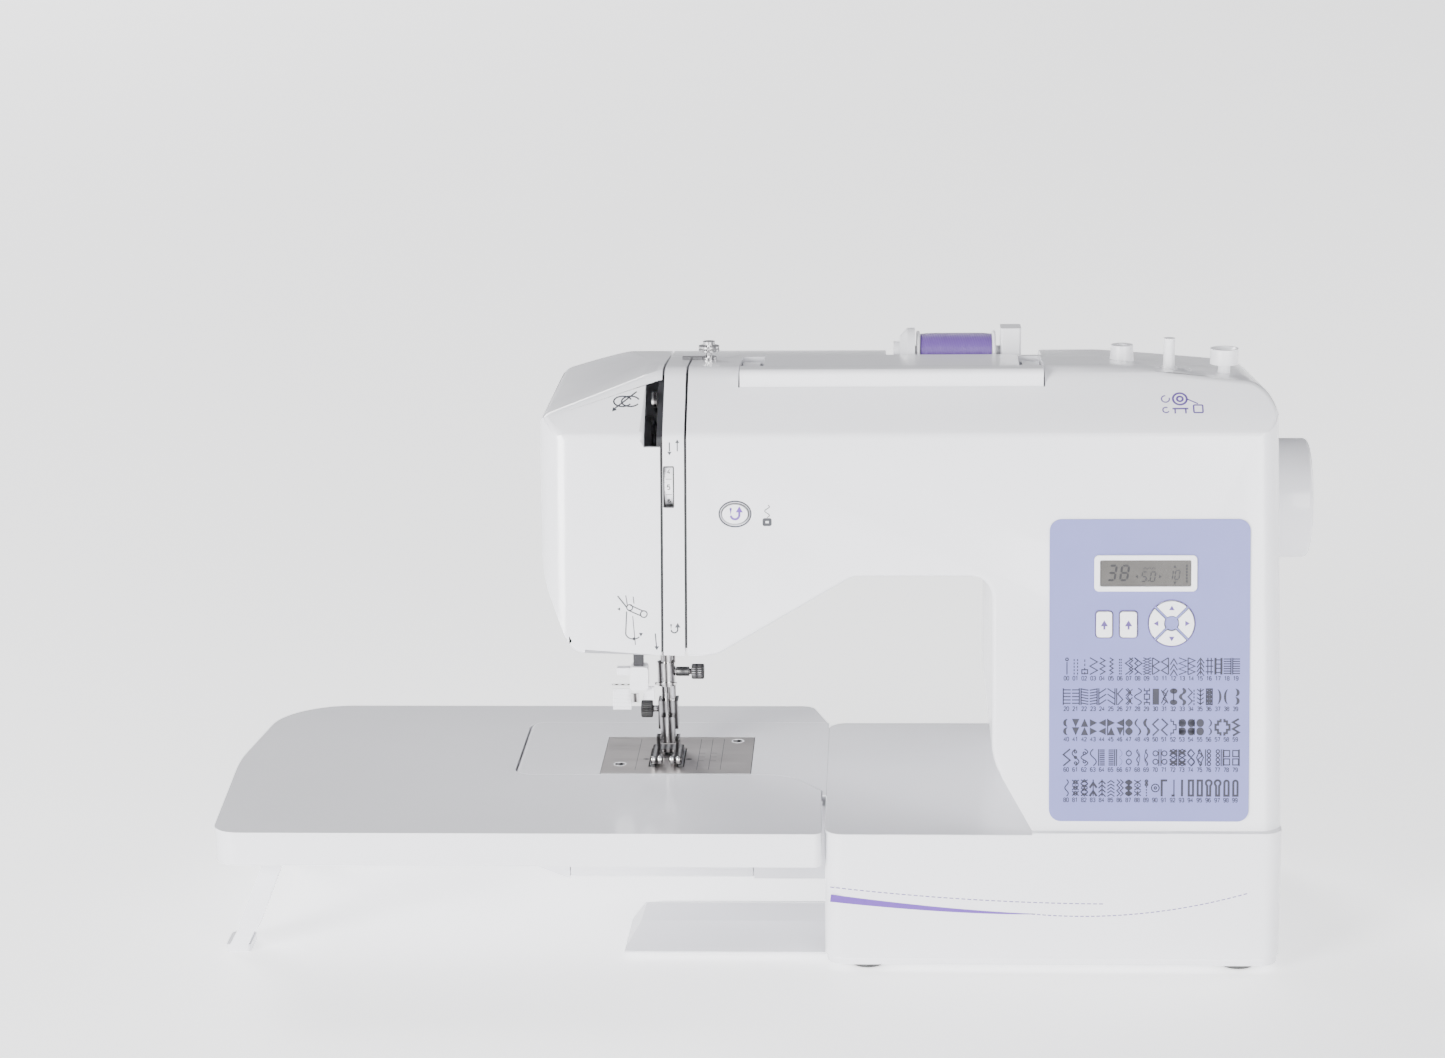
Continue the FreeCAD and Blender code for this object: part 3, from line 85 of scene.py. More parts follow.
def up_face(z):
    """Distance up the leaning front face of a point at height z."""
    return (z - FACE_FOOT[1]) / math.cos(LEAN)


def on_slope(angle, foot):
    """Place (x, distance up, distance out) on a plane that leans back by an angle from its foot."""
    def place(p):
        y = foot[0] + p[:, 1] * math.sin(angle) - p[:, 2] * math.cos(angle)
        z = foot[1] + p[:, 1] * math.cos(angle) + p[:, 2] * math.sin(angle)
        return np.column_stack((p[:, 0], y, z))
    return place


on_face = on_slope(LEAN, FACE_FOOT)
on_shoulder = on_slope(math.pi / 2 - SHOULDER, SHOULDER_FOOT)
on_base_front = on_slope(0.0, (0.0, 0.0))


def on_level(z):
    """Place (x, y, distance out) on a level plane at height z."""
    return lambda p: np.column_stack((p[:, 0], p[:, 1], z + p[:, 2]))


def face_height(node):
    """How far a CAD node stands out of the leaning front face."""
    p = node_points(node)
    y, z = p[:, 1] - FACE_FOOT[0], p[:, 2] - FACE_FOOT[1]
    return float(np.max(z * math.sin(LEAN) - y * math.cos(LEAN)))


# ---------------------------------------------------------------- mesh making
def joined(parts):
    """Several (points, faces) pairs as one, with the face numbers moved on."""
    points, faces, start = [], [], 0
    for part_points, part_faces in parts:
        points.append(np.asarray(part_points, float))
        faces.extend([tuple(int(i) + start for i in face) for face in part_faces])
        start += len(part_points)
    return np.vstack(points), faces


def grid_faces(rows, columns, wrap_rows=False, wrap_columns=False):
    """Quads of a rows x columns grid of points, joined end to end where it wraps."""
    r = np.arange(rows if wrap_rows else rows - 1)
    c = np.arange(columns if wrap_columns else columns - 1)
    r, c = np.meshgrid(r, c, indexing="ij")
    r2, c2 = (r + 1) % rows, (c + 1) % columns
    quads = np.stack((r * columns + c, r * columns + c2, r2 * columns + c2, r2 * columns + c), -1)
    return quads.reshape(-1, 4)


def piece(name, points, faces, body, slot, finish=None, smooth=True, replaces=()):
    """A mesh object from drawing-frame points, riding on a body with its slot, and with the finish
    of that slot unless another is given."""
    mesh = bpy.data.meshes.new(name)
    mesh.from_pydata(placed(points).tolist(), [], [tuple(int(i) for i in f) for f in faces])
    mesh.validate()
    work = bmesh.new()
    work.from_mesh(mesh)
    bmesh.ops.remove_doubles(work, verts=work.verts, dist=1e-7)
    bmesh.ops.recalc_face_normals(work, faces=work.faces)
    work.to_mesh(mesh)
    work.free()
    mesh.polygons.foreach_set("use_smooth", [smooth] * len(mesh.polygons))
    made = bpy.data.objects.new(name, mesh)
    bpy.context.scene.collection.objects.link(made)
    mesh.materials.append(finish or FINISHES[slot])
    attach(made, body)
    if replaces:
        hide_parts(*replaces)
    return made


def edge_round(made, width, segments=2, angle=30.0):
    """Round every edge sharper than an angle with a small bevel."""
    bevel = made.modifiers.new("edge_round", "BEVEL")
    bevel.width = width / 1000
    bevel.segments = segments
    bevel.limit_method = "ANGLE"
    bevel.angle_limit = math.radians(angle)
    bevel.harden_normals = True
    bevel.loop_slide = False
    return made


def turned(profile, axis, centre, steps=64):
    """Surface of revolution: (along, radius) profile points are carried round an axis."""
    profile = np.asarray(profile, float)
    turn = np.linspace(0, 2 * math.pi, steps, endpoint=False)
    along = np.repeat(profile[:, 0], steps)
    a = np.outer(profile[:, 1], np.cos(turn)).ravel() + centre[0]
    b = np.outer(profile[:, 1], np.sin(turn)).ravel() + centre[1]
    order = {"x": (along, a, b), "y": (a, along, b), "z": (a, b, along)}[axis]
    return np.column_stack(order), grid_faces(len(profile), steps, wrap_columns=True)


def ribbon(path, half, out=PROUD, base=0.0, closed=False):
    """Raised stroke: each path point is moved half a width to both sides along the mitre of its
    two runs, and the four corner lines base/top x left/right make a box section."""
    p = np.asarray(path, float)
    half = np.broadcast_to(np.asarray(half, float), len(p))
    runs = (np.roll(p, -1, 0) - p) if closed else np.diff(p, axis=0)
    runs = runs / np.linalg.norm(runs, axis=1)[:, None]
    side = np.column_stack((-runs[:, 1], runs[:, 0]))
    before = np.roll(side, 1, 0) if closed else np.vstack((side[:1], side))
    after = side if closed else np.vstack((side, side[-1:]))
    mitre = (before + after) / np.maximum(1 + np.sum(before * after, 1), 0.35)[:, None]
    left, right = p + mitre * half[:, None], p - mitre * half[:, None]
    low, high = np.full(len(p), base), np.full(len(p), base + out)
    corners = [(left, low), (left, high), (right, high), (right, low)]
    points = np.stack([np.column_stack((xy, z)) for xy, z in corners], 1).reshape(-1, 3)
    faces = [tuple(f) for f in grid_faces(len(p), 4, wrap_rows=closed, wrap_columns=True)]
    if not closed:
        last = 4 * (len(p) - 1)
        faces += [(0, 1, 2, 3), (last + 3, last + 2, last + 1, last)]
    return points, faces


def arc(u, v, radius, start, stop, count=24):
    """Points on an arc of a circle, its angles in degrees; radius may be a pair for an oval."""
    ru, rv = radius if isinstance(radius, tuple) else (radius, radius)
    turn = np.radians(np.linspace(start, stop, count))
    return np.column_stack((u + ru * np.cos(turn), v + rv * np.sin(turn)))


def ring(u, v, radius, half, count=32, **extra):
    """A closed round stroke."""
    return ribbon(arc(u, v, radius, 0, 360 * (1 - 1 / count), count), half, closed=True, **extra)


def moved(strokes, u, v, scale=1.0):
    """Strokes scaled in their plane and moved to (u, v)."""
    result = []
    for points, faces in strokes:
        points = np.array(points, float)
        points[:, :2] = points[:, :2] * scale + (u, v)
        result.append((points, faces))
    return result


def printed(name, strokes, place, body, slot, finish=None, lift=0.0):
    """Flat marks laid on a surface of the machine, as one piece."""
    points, faces = joined(strokes)
    points = points + (0.0, 0.0, lift)
    return piece(name, place(points), faces, body, slot, finish, smooth=False)


# ---------------------------------------------------------------- shader maths
class Value:
    """One shader socket.  Sums written with it add their Math nodes."""

    def __init__(self, finish, socket):
        self.finish, self.socket = finish, socket

    def maths(self, operation, *others, clamp=False):
        """One Math node over the given values."""
        settings = {"operation": operation, "use_clamp": clamp}
        return self.finish.add("ShaderNodeMath", settings, {i: v for i, v in enumerate(others)})

    def __add__(self, other):
        return self.maths("ADD", self, other)

    __radd__ = __add__

    def __sub__(self, other):
        return self.maths("SUBTRACT", self, other)

    def __rsub__(self, other):
        return self.maths("SUBTRACT", other, self)

    def __mul__(self, other):
        return self.maths("MULTIPLY", self, other)

    __rmul__ = __mul__

    def __gt__(self, other):
        return self.maths("GREATER_THAN", self, other)

    def sine(self):
        return self.maths("SINE", self)

    def clamped(self):
        return self.maths("ADD", self, 0.0, clamp=True)


class Finish:
    """A procedural material on object coordinates, built socket by socket."""

    def __init__(self, name, **constants):
        self.material = bpy.data.materials.new(name)
        self.material.use_nodes = True
        self.tree = self.material.node_tree
        self.shader = self.tree.nodes["Principled BSDF"]
        for socket, value in constants.items():
            self.shader.inputs[socket.replace("_", " ")].default_value = value
        self.where = self.add("ShaderNodeTexCoord", {}, {}, "Object")

    def add(self, kind, settings, inputs, output=0):
        """A node of any kind: settings first, then its sockets' values or links."""
        node = self.tree.nodes.new(kind)
        for name, value in settings.items():
            setattr(node, name, value)
        for socket, value in inputs.items():
            if isinstance(value, Value):
                self.tree.links.new(value.socket, node.inputs[socket])
            else:
                node.inputs[socket].default_value = value
        return Value(self, node.outputs[output])

    def noise(self, scale, detail=2.0, roughness=0.5, stretch=None):
        """Noise on object coordinates, stretched along the axes when asked; scale is per metre."""
        place = self.where
        if stretch:
            place = self.add("ShaderNodeMapping", {}, {"Vector": place, "Scale": stretch})
        inputs = {"Vector": place, "Scale": scale, "Detail": detail, "Roughness": roughness}
        return self.add("ShaderNodeTexNoise", {}, inputs)

    def axis(self, name):
        """One object coordinate, in metres."""
        return self.add("ShaderNodeSeparateXYZ", {}, {0: self.where}, name)

    def colour_mix(self, factor, first, second):
        """Two colours mixed by a factor."""
        settings = {"data_type": "RGBA"}
        inputs = {0: factor, 6: (*first, 1.0), 7: (*second, 1.0)}
        return self.add("ShaderNodeMix", settings, inputs, 2)

    def dressed(self, factor, dark, light, roughness, bump=None):
        """The material, with its colour, its roughness and perhaps a bump linked up."""
        self.link("Base Color", self.colour_mix(factor, dark, light))
        self.link("Roughness", roughness)
        if bump:
            self.link("Normal", self.bump(*bump))
        return self.material

    def link(self, socket, value):
        """Drive one socket of the shader."""
        self.tree.links.new(value.socket, self.shader.inputs[socket])

    def bump(self, height, strength, distance):
        """A surface normal tilted by a height socket; distance in metres."""
        inputs = {"Height": height, "Strength": strength, "Distance": distance}
        return self.add("ShaderNodeBump", {}, inputs)


def moulded(name, light, dark, gloss, grain=0.05, coat=0.0, grain_scale=1400.0):
    """Moulded plastic: two close tones in soft clouds, faint flow marks, a fine spark-eroded
    grain and patches where handling has polished it."""
    finish = Finish(name, Coat_Weight=coat, Coat_Roughness=0.08, Specular_IOR_Level=0.5)
    clouds = finish.noise(9.0, 3.0)
    flow = finish.noise(22.0, 2.0, stretch=(0.35, 1.0, 1.0))
    tone = (clouds * 0.7 + flow * 0.3).clamped()
    roughness = gloss + finish.noise(35.0, 4.0) * 0.10 - 0.05
    return finish.dressed(tone, dark, light, roughness,
                          (finish.noise(grain_scale, 2.0), grain, 0.0002))


def metal(name, light, dark, gloss, stretch, brush=0.25, brush_scale=700.0, painted_reflection=0.0):
    """Bare metal: long grinding lines stretched along one axis, with dull fingerprints.  Where a band
    strength is given, painted reflections are laid on as light and dark bands across the machine's width."""
    finish = Finish(name, Metallic=1.0)
    lines = finish.noise(brush_scale, 3.0, 0.6, stretch=stretch)
    smear = finish.noise(60.0, 3.0)
    tone = lines * 0.6 + smear * 0.4
    # painted reflection: sine bands across X lighten and darken the plating colour, standing in for the
    # room mirrored in chrome
    if painted_reflection:
        across, up = finish.axis("X"), finish.axis("Z")
        tone = tone + (across * 1900.0 + up * 60.0).sine() * painted_reflection
    return finish.dressed(tone.clamped(), dark, light, gloss + lines * 0.12 + smear * 0.10,
                          (lines, brush, 0.00008))


def ink(name, light, dark):
    """Screen-printed ink: slightly uneven cover with a satin surface."""
    finish = Finish(name)
    cover = finish.noise(900.0, 3.0)
    return finish.dressed(cover, dark, light, 0.38 + cover * 0.2, (cover, 0.08, 0.00005))


def thread_finish():
    """Glossy wound sewing thread: strands cross at a small slant, each with a painted highlight along its
    crest and painted shade between it and the next.
    """
    finish = Finish("wound_thread", Sheen_Weight=0.4, Sheen_Roughness=0.4)
    along, up, back = finish.axis("X"), finish.axis("Z"), finish.axis("Y")
    # painted highlight and shade: each strand is lighter on its crest and darker in the grooves, mixed
    # with a real fibre tone
    strands = (along * 15000.0 + up * 900.0 + back * 700.0).sine() * 0.5 + 0.5
    fibre = finish.noise(2600.0, 2.0, stretch=(2.5, 0.4, 0.4))
    crest_highlight_and_fibre = (strands * 0.7 + fibre * 0.3).clamped()
    return finish.dressed(crest_highlight_and_fibre, (0.07, 0.03, 0.20), (0.24, 0.13, 0.48), 0.34 + fibre * 0.2,
                          (strands, 0.5, 0.0002))


def rubber(name, tone=0.03):
    """Dull rubber with a coarse grain and dusty patches."""
    finish = Finish(name)
    dust = finish.noise(140.0, 4.0, 0.6)
    dark, light = (tone,) * 3, (tone * 2.6,) * 3
    return finish.dressed(dust, dark, light, 0.62 + dust * 0.25,
                          (finish.noise(1800.0, 2.0), 0.25, 0.0002))


def overlay_finish():
    """Polycarbonate overlay printed lilac: nearly flat colour with an orange-peel surface."""
    finish = Finish("lilac_overlay", Coat_Weight=0.15, Coat_Roughness=0.2)
    tone = finish.noise(45.0, 3.0)
    return finish.dressed(tone, (0.155, 0.165, 0.40), (0.175, 0.185, 0.44),
                          0.36 + finish.noise(260.0, 2.0) * 0.14,
                          (finish.noise(950.0, 2.0), 0.12, 0.0001))


def display_finish():
    """Reflective liquid crystal display: warm grey with a fine cell grid under its window."""
    finish = Finish("display_glass", Coat_Weight=0.5, Coat_Roughness=0.05)
    across, up = finish.axis("X"), finish.axis("Z")
    cells = (across * 9000.0).sine() * (up * 9000.0).sine() * 0.5 + 0.5
    tone = (finish.noise(50.0, 2.0) * 0.7 + cells * 0.3).clamped()
    return finish.dressed(tone, (0.060, 0.056, 0.052), (0.080, 0.075, 0.069), 0.22 + tone * 0.1)


def clear_finish():
    """Frosted lamp lens."""
    finish = Finish("lamp_lens", Transmission_Weight=0.6, IOR=1.49)
    frost = finish.noise(600.0, 3.0)
    return finish.dressed(frost, (0.82, 0.82, 0.78), (0.92, 0.92, 0.9), 0.25 + frost * 0.25)


def board_finish():
    """Circuit board: green mask with paler copper tracks under it."""
    finish = Finish("circuit_board")
    tracks = (finish.noise(120.0, 1.0) * 40.0).sine() > 0.2
    return finish.dressed(tracks, (0.015, 0.09, 0.035), (0.03, 0.17, 0.07), 0.35 + tracks * 0.15)


FINISHES = {
    "white_shell": moulded("white_shell", (0.80, 0.80, 0.83), (0.775, 0.775, 0.81), 0.24, coat=0.3),
    "table_shell": moulded("table_shell", (0.79, 0.79, 0.82), (0.765, 0.765, 0.80), 0.22, coat=0.3),
    "button_white": moulded("button_white", (0.84, 0.84, 0.86), (0.80, 0.80, 0.83), 0.30, coat=0.1),
    "grey_plastic": moulded("grey_plastic", (0.42, 0.43, 0.46), (0.36, 0.37, 0.40), 0.42, 0.2),
    "dark_plastic": moulded("dark_plastic", (0.030, 0.030, 0.034), (0.018, 0.018, 0.021), 0.42, 0.3),
    "motor_paint": moulded("motor_paint", (0.06, 0.06, 0.065), (0.04, 0.04, 0.045), 0.35, 0.3),
    "foot_rubber": rubber("foot_rubber"),
    "belt_rubber": rubber("belt_rubber", 0.02),
    "panel_lilac": overlay_finish(),
    "lcd_glass": display_finish(),
    "board_green": board_finish(),
    "lens_clear": clear_finish(),
    "thread_purple": thread_finish(),
    "brushed_plate": metal("brushed_plate", (0.66, 0.63, 0.62), (0.48, 0.455, 0.45), 0.26, (0.05, 1, 1)),
    # bright_steel carries painted reflections: its very dark tone and its banding stand in for the room
    # mirrored in the chrome
    "bright_steel": metal("bright_steel", (0.80, 0.79, 0.79), (0.07, 0.065, 0.065), 0.08, (1, 1, 0.1),
                          0.08, painted_reflection=0.55),
    "tool_steel": metal("tool_steel", (0.55, 0.55, 0.56), (0.40, 0.40, 0.41), 0.25, (0.1, 1, 1)),
    "cast_alloy": metal("cast_alloy", (0.60, 0.61, 0.62), (0.45, 0.46, 0.47), 0.45, (1, 1, 1), 0.8, 300),
    "bush_bronze": metal("bush_bronze", (0.60, 0.42, 0.20), (0.45, 0.30, 0.13), 0.25, (0.1, 1, 1)),
}
DARK_INK = ink("dark_ink", (0.018, 0.018, 0.036), (0.010, 0.010, 0.022))
GREY_INK = ink("grey_ink", (0.055, 0.057, 0.065), (0.035, 0.037, 0.045))
PURPLE_INK = ink("purple_ink", (0.13, 0.045, 0.36), (0.10, 0.035, 0.29))
LILAC_INK = ink("lilac_ink", (0.10, 0.055, 0.26), (0.075, 0.04, 0.20))
PLAIN_CHROME = metal("plain_chrome", (0.62, 0.61, 0.61), (0.34, 0.34, 0.35), 0.10, (1, 1, 0.1), 0.08)
KNURLED_BLACK = metal("knurled_black", (0.16, 0.16, 0.16), (0.035, 0.035, 0.035), 0.24, (1, 1, 0.2),
                      0.3)
# this black ink prints marks and also makes the painted shadow sheets inside the thread slots
BLACK_INK_AND_PAINTED_SHADOW = ink("black_ink_and_painted_shadow", (0.012, 0.012, 0.014), (0.006, 0.006, 0.008))


def finish_cad_nodes():
    """Give every CAD node the procedural finish of its material slot, and the thread guide plain
    chrome without the painted reflection bands."""
    for part in frame["record"]["subparts"]:
        mesh = frame["nodes"][part["node"]].data
        mesh.materials.clear()
        mesh.materials.append(FINISHES[part["material_slot"]])
    guide = frame["nodes"]["thread_guide"].data
    guide.materials.clear()
    guide.materials.append(PLAIN_CHROME)


# ---------------------------------------------------------------- camera, lights, floor
CAMERA_PLACE = (24.9, -1634.9, 631.7)             # millimetres, in the drawing frame
CAMERA_TURN = (13.6, -2.7, -0.7)                  # degrees down, towards +x and round the view
CAMERA_LENS, SENSOR_WIDTH = 83.78, 36.0           # millimetres
FLOOR_RADIUS, FLOOR_DROP = 14.0, 0.0004           # metres
FLOOR_RINGS, FLOOR_SECTORS = 24, 96
ROOM_STRENGTH = 1.0
HORIZON_TO_ZENITH = ((0.0, (0.56, 0.56, 0.59)), (0.5, (0.20, 0.20, 0.22)))
FLOOR_GLOW = 1.25
SOFTBOXES = (("key_light", (-1.9, -2.3, 0.8), 1.2, 190), ("fill_light", (1.3, -2.6, 0.5), 1.6, 95),
             ("back_light", (-4.5, 7.5, 6.0), 4.0, 950), ("side_light", (3.0, 0.9, 1.1), 1.4, 45))


def camera():
    """Camera in front of the machine, a little above it and looking slightly down."""
    place = placed([CAMERA_PLACE])[0]
    pitch, yaw, roll = (math.radians(turn) for turn in CAMERA_TURN)
    ahead = np.array((math.sin(yaw) * math.cos(pitch), math.cos(yaw) * math.cos(pitch),
                      -math.sin(pitch)))
    right = np.array((math.cos(yaw), -math.sin(yaw), 0.0))
    up = np.cross(right, ahead)
    right, up = (math.cos(roll) * right + math.sin(roll) * up,
                 math.cos(roll) * up - math.sin(roll) * right)
    data = bpy.data.cameras.new("camera")
    data.sensor_width = SENSOR_WIDTH
    data.lens = CAMERA_LENS
    made = bpy.data.objects.new("camera", data)
    bpy.context.scene.collection.objects.link(made)
    matrix = np.eye(4)
    matrix[:3, 0], matrix[:3, 1], matrix[:3, 2], matrix[:3, 3] = right, up, -ahead, place
    made.matrix_world = Matrix(matrix.tolist())
    bpy.context.scene.camera = made


def softbox(name, place, aim, size, power):
    """A large square light at a place in metres, turned towards a point."""
    data = bpy.data.lights.new(name, "AREA")
    data.size = size
    data.energy = power
    made = bpy.data.objects.new(name, data)
    bpy.context.scene.collection.objects.link(made)
    made.location = place
    made.rotation_mode = "QUATERNION"
    made.rotation_quaternion = (Vector(aim) - Vector(place)).to_track_quat("-Z", "Y")


def room_light():
    """World light: bright near the horizon and dim overhead, as in a room with a dark ceiling."""
    world = bpy.data.worlds.new("studio")
    bpy.context.scene.world = world
    world.use_nodes = True
    tree = world.node_tree
    where = tree.nodes.new("ShaderNodeTexCoord")
    parts = tree.nodes.new("ShaderNodeSeparateXYZ")
    ramp = tree.nodes.new("ShaderNodeValToRGB")
    for stop, (position, tone) in zip(ramp.color_ramp.elements, HORIZON_TO_ZENITH):
        stop.position, stop.color = position, (*tone, 1.0)
    tree.links.new(where.outputs["Generated"], parts.inputs[0])
    tree.links.new(parts.outputs["Z"], ramp.inputs[0])
    background = tree.nodes["Background"]
    tree.links.new(ramp.outputs["Color"], background.inputs["Color"])
    background.inputs["Strength"].default_value = ROOM_STRENGTH


def studio():
    """Room light, softboxes low in front and behind, and a wide pale floor."""
    room_light()
    middle = (0.0, 0.0, 0.15)
    for name, place, size, power in SOFTBOXES:
        softbox(name, place, middle, size, power)
    finish = Finish("floor", Specular_IOR_Level=0.2, Emission_Strength=FLOOR_GLOW,
                    Emission_Color=(1.0, 1.0, 1.0, 1.0))
    tone = finish.noise(3.0, 3.0)
    finish.link("Base Color", finish.colour_mix(tone, (0.90, 0.90, 0.91), (0.93, 0.93, 0.94)))
    finish.link("Roughness", 0.6 + tone * 0.1)
    r, turn = np.meshgrid(np.linspace(0.0, FLOOR_RADIUS, FLOOR_RINGS),
                          np.linspace(0, 2 * math.pi, FLOOR_SECTORS, endpoint=False), indexing="ij")
    points = np.column_stack(((r * np.cos(turn)).ravel(), (r * np.sin(turn)).ravel(),
                              np.full(r.size, -FLOOR_DROP)))
    mesh = bpy.data.meshes.new("floor")
    faces = grid_faces(FLOOR_RINGS, FLOOR_SECTORS, wrap_columns=True)
    mesh.from_pydata(points.tolist(), [], faces.tolist())
    mesh.validate()
    floor = bpy.data.objects.new("floor", mesh)
    bpy.context.scene.collection.objects.link(floor)
    mesh.materials.append(finish.material)


# ---------------------------------------------------------------- softened covers
CREASE_ANGLE = math.radians(35)                   # creases sharper than this may get the wide round
CREASE_SEGMENTS = 5


def softened(node, body, slot, small=0.5, big=0.0, big_where=None):
    """A cover of the CAD shape with moulded edges: its triangles are welded, flat areas joined,
    creases that a test picks get a wide round and every other edge a small one."""
    source = frame["nodes"][node].data
    work = bmesh.new()
    work.from_mesh(source)
    bmesh.ops.remove_doubles(work, verts=work.verts, dist=2e-6)
    bmesh.ops.dissolve_limit(work, angle_limit=math.radians(0.35), verts=work.verts,
                             edges=work.edges)
    bmesh.ops.recalc_face_normals(work, faces=work.faces)
    if big_where:
        weight = work.edges.layers.float.new("bevel_weight_edge")
        for edge in work.edges:
            if len(edge.link_faces) == 2 and edge.calc_face_angle(0) > CREASE_ANGLE:
                ends = [np.array(v.co) * 1000 - SHIFT for v in edge.verts]
                edge[weight] = float(all(big_where(p) for p in ends))
    mesh = bpy.data.meshes.new(node + "_moulded")
    work.to_mesh(mesh)
    work.free()
    if "custom_normal" in mesh.attributes:
        mesh.attributes.remove(mesh.attributes["custom_normal"])
    mesh.polygons.foreach_set("use_smooth", [True] * len(mesh.polygons))
    made = bpy.data.objects.new(node + "_moulded", mesh)
    bpy.context.scene.collection.objects.link(made)
    mesh.materials.clear()
    mesh.materials.append(FINISHES[slot])
    if big_where:
        bevel = made.modifiers.new("crease_round", "BEVEL")
        bevel.width = big / 1000
        bevel.segments = CREASE_SEGMENTS
        bevel.limit_method = "WEIGHT"
        bevel.use_clamp_overlap = False
        bevel.loop_slide = False
    edge_round(made, small, 2, 28.0)
    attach(made, body)
    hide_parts(node)
    return made


# ---------------------------------------------------------------- covers
SLOT_X = (-84.6, -72.4)                           # the two thread slots of the head
SPLIT_Y = 120.0                                   # front and rear covers meet here


def upper_crease(p):
    """The outer creases of arm, head and column, away from the seams."""
    clear_of_seams = (min(abs(p[0] - SLOT_X[0]), abs(p[0] - SLOT_X[1])) > 1.2
                      and abs(p[1] - SPLIT_Y) > 1.0 and p[2] > 78)
    handle_well = -49 < p[0] < 114 and 51 < p[1] < 119 and p[2] > 285
    spool_well = 27 < p[0] < 115 and 121 < p[1] < 167 and p[2] > 285
    return clear_of_seams and not handle_well and not spool_well and outer_skin(p)


def outer_skin(p):
    """True for a point on the outside of the upper body rather than on the inside of its wall."""
    out_of_face = (p[2] - FACE_FOOT[1]) * math.sin(LEAN) - (p[1] - FACE_FOOT[0]) * math.cos(LEAN)
    along, up = p[1] - SHOULDER_FOOT[0], p[2] - SHOULDER_FOOT[1]
    out_of_shoulder = up * math.cos(SHOULDER) - along * math.sin(SHOULDER)
    return out_of_face > -0.4 or abs(out_of_shoulder) < 0.4 or p[1] > 176.4


def covers():
    """Every white shell, with rounded creases, small moulded edges and its gloss."""
    for node in ("front_cover", "rear_cover", "face_cover"):
        softened(node, "root", "white_shell", 0.4, 2.4, upper_crease)
    softened("thread_strip", "root", "white_shell", 0.35)
    softened("base_cover", "root", "white_shell", 1.4)
    softened("bottom_plate", "root", "white_shell", 0.7)
    softened("free_arm_cover", "root", "white_shell", 0.5)
    softened("bobbin_cover", "bobbin_door", "white_shell", 0.5)
    softened("extension_table", "table", "table_shell", 0.6)
    softened("table_leg_front", "leg_front", "table_shell", 0.9)
    softened("table_leg_rear", "leg_rear", "table_shell", 0.9)
    softened("carry_handle", "handle", "white_shell", 1.6)


def small_parts():
    """Buttons, the display bezel and the control panel, whose edges are broken by a small round."""
    for node, body in (("mode_button_left", "mode_left"), ("mode_button_right", "mode_right"),
                       ("arrow_button_up", "arrow_up"), ("arrow_button_left", "arrow_left"),
                       ("arrow_button_down", "arrow_down"), ("arrow_button_right", "arrow_right"),
                       ("reverse_button", "reverse")):
        softened(node, body, "button_white", 0.45)
    softened("lcd_bezel", "root", "button_white", 0.4)
    softened("control_panel", "root", "panel_lilac", 0.25)


# ---------------------------------------------------------------- printed numbers and marks
DIGITS = {
    "0": [([(.25, 0), (.75, 0), (1, .35), (1, 1.65), (.75, 2), (.25, 2), (0, 1.65), (0, .35)], True)],
    "1": [([(.15, 1.6), (.6, 2), (.6, 0)], False)],
    "2": [([(0, 1.6), (.25, 2), (.75, 2), (1, 1.65), (1, 1.3), (0, 0), (1, 0)], False)],
    "3": [([(0, 1.8), (.3, 2), (.75, 2), (1, 1.7), (1, 1.3), (.6, 1.05), (1, .8), (1, .3), (.75, 0),
            (.3, 0), (0, .25)], False)],
    "4": [([(.75, 0), (.75, 2), (0, .6), (1, .6)], False)],
    "5": [([(1, 2), (.1, 2), (0, 1.1), (.7, 1.25), (1, .95), (1, .3), (.75, 0), (.25, 0),
            (0, .25)], False)],
    "6": [([(.95, 1.75), (.7, 2), (.3, 2), (0, 1.6), (0, .35), (.3, 0), (.75, 0), (1, .3),
            (1, .85), (.75, 1.15), (.3, 1.15), (0, .85)], False)],
    "7": [([(0, 2), (1, 2), (.4, 0)], False)],
    "8": [([(.3, 1.08), (0, 1.4), (0, 1.7), (.3, 2), (.7, 2), (1, 1.7), (1, 1.4), (.7, 1.08),
            (1, .75), (1, .3), (.7, 0), (.3, 0), (0, .3), (0, .75)], True)],
    "9": [([(.05, .25), (.3, 0), (.7, 0), (1, .4), (1, 1.65), (.7, 2), (.25, 2), (0, 1.7),
            (0, 1.15), (.25, .85), (.7, .85), (1, 1.15)], False)],
}


def numerals(text, u, v, height, half):
    """A row of numerals centred on u, standing on v."""
    scale, pitch = height / 2, height * 0.72
    start = u - (len(text) * pitch - (pitch - scale)) / 2
    strokes = []
    for i, digit in enumerate(text):
        for path, closed in DIGITS[digit]:
            points = np.array(path) * scale + (start + i * pitch, v)
            strokes.append(ribbon(points, half, closed=closed))
    return strokes


SEGMENTS = {"0": "abcdef", "1": "bc", "3": "abcdg", "5": "afgcd", "8": "abcdefg"}
SEGMENT_ENDS = {"a": ((0, 2), (1, 2)), "b": ((1, 2), (1, 1)), "c": ((1, 1), (1, 0)),
                "d": ((0, 0), (1, 0)), "e": ((0, 1), (0, 0)), "f": ((0, 2), (0, 1)),
                "g": ((0, 1), (1, 1))}


def display_digit(digit, u, v, height, half):
    """One seven-segment digit, slanted: each segment is a bar with pointed ends."""
    strokes = []
    for segment in SEGMENTS[digit]:
        a, b = (np.array(end, float) for end in SEGMENT_ENDS[segment])
        steps = np.array((0.08, 0.2, 0.8, 0.92))[:, None]
        path = (a + (b - a) * steps) * (height / 2) * (0.95, 1.0)
        path[:, 0] += path[:, 1] * 0.16
        strokes.append(ribbon(path + (u, v), np.array((0.12, 1, 1, 0.12)) * half))
    return strokes


# ---------------------------------------------------------------- stitch chart
# Each small function draws one stitch shape in a cell 1 wide and 2 high, n repeats up the cell.
FINE, BOLD = 0.07, 0.13


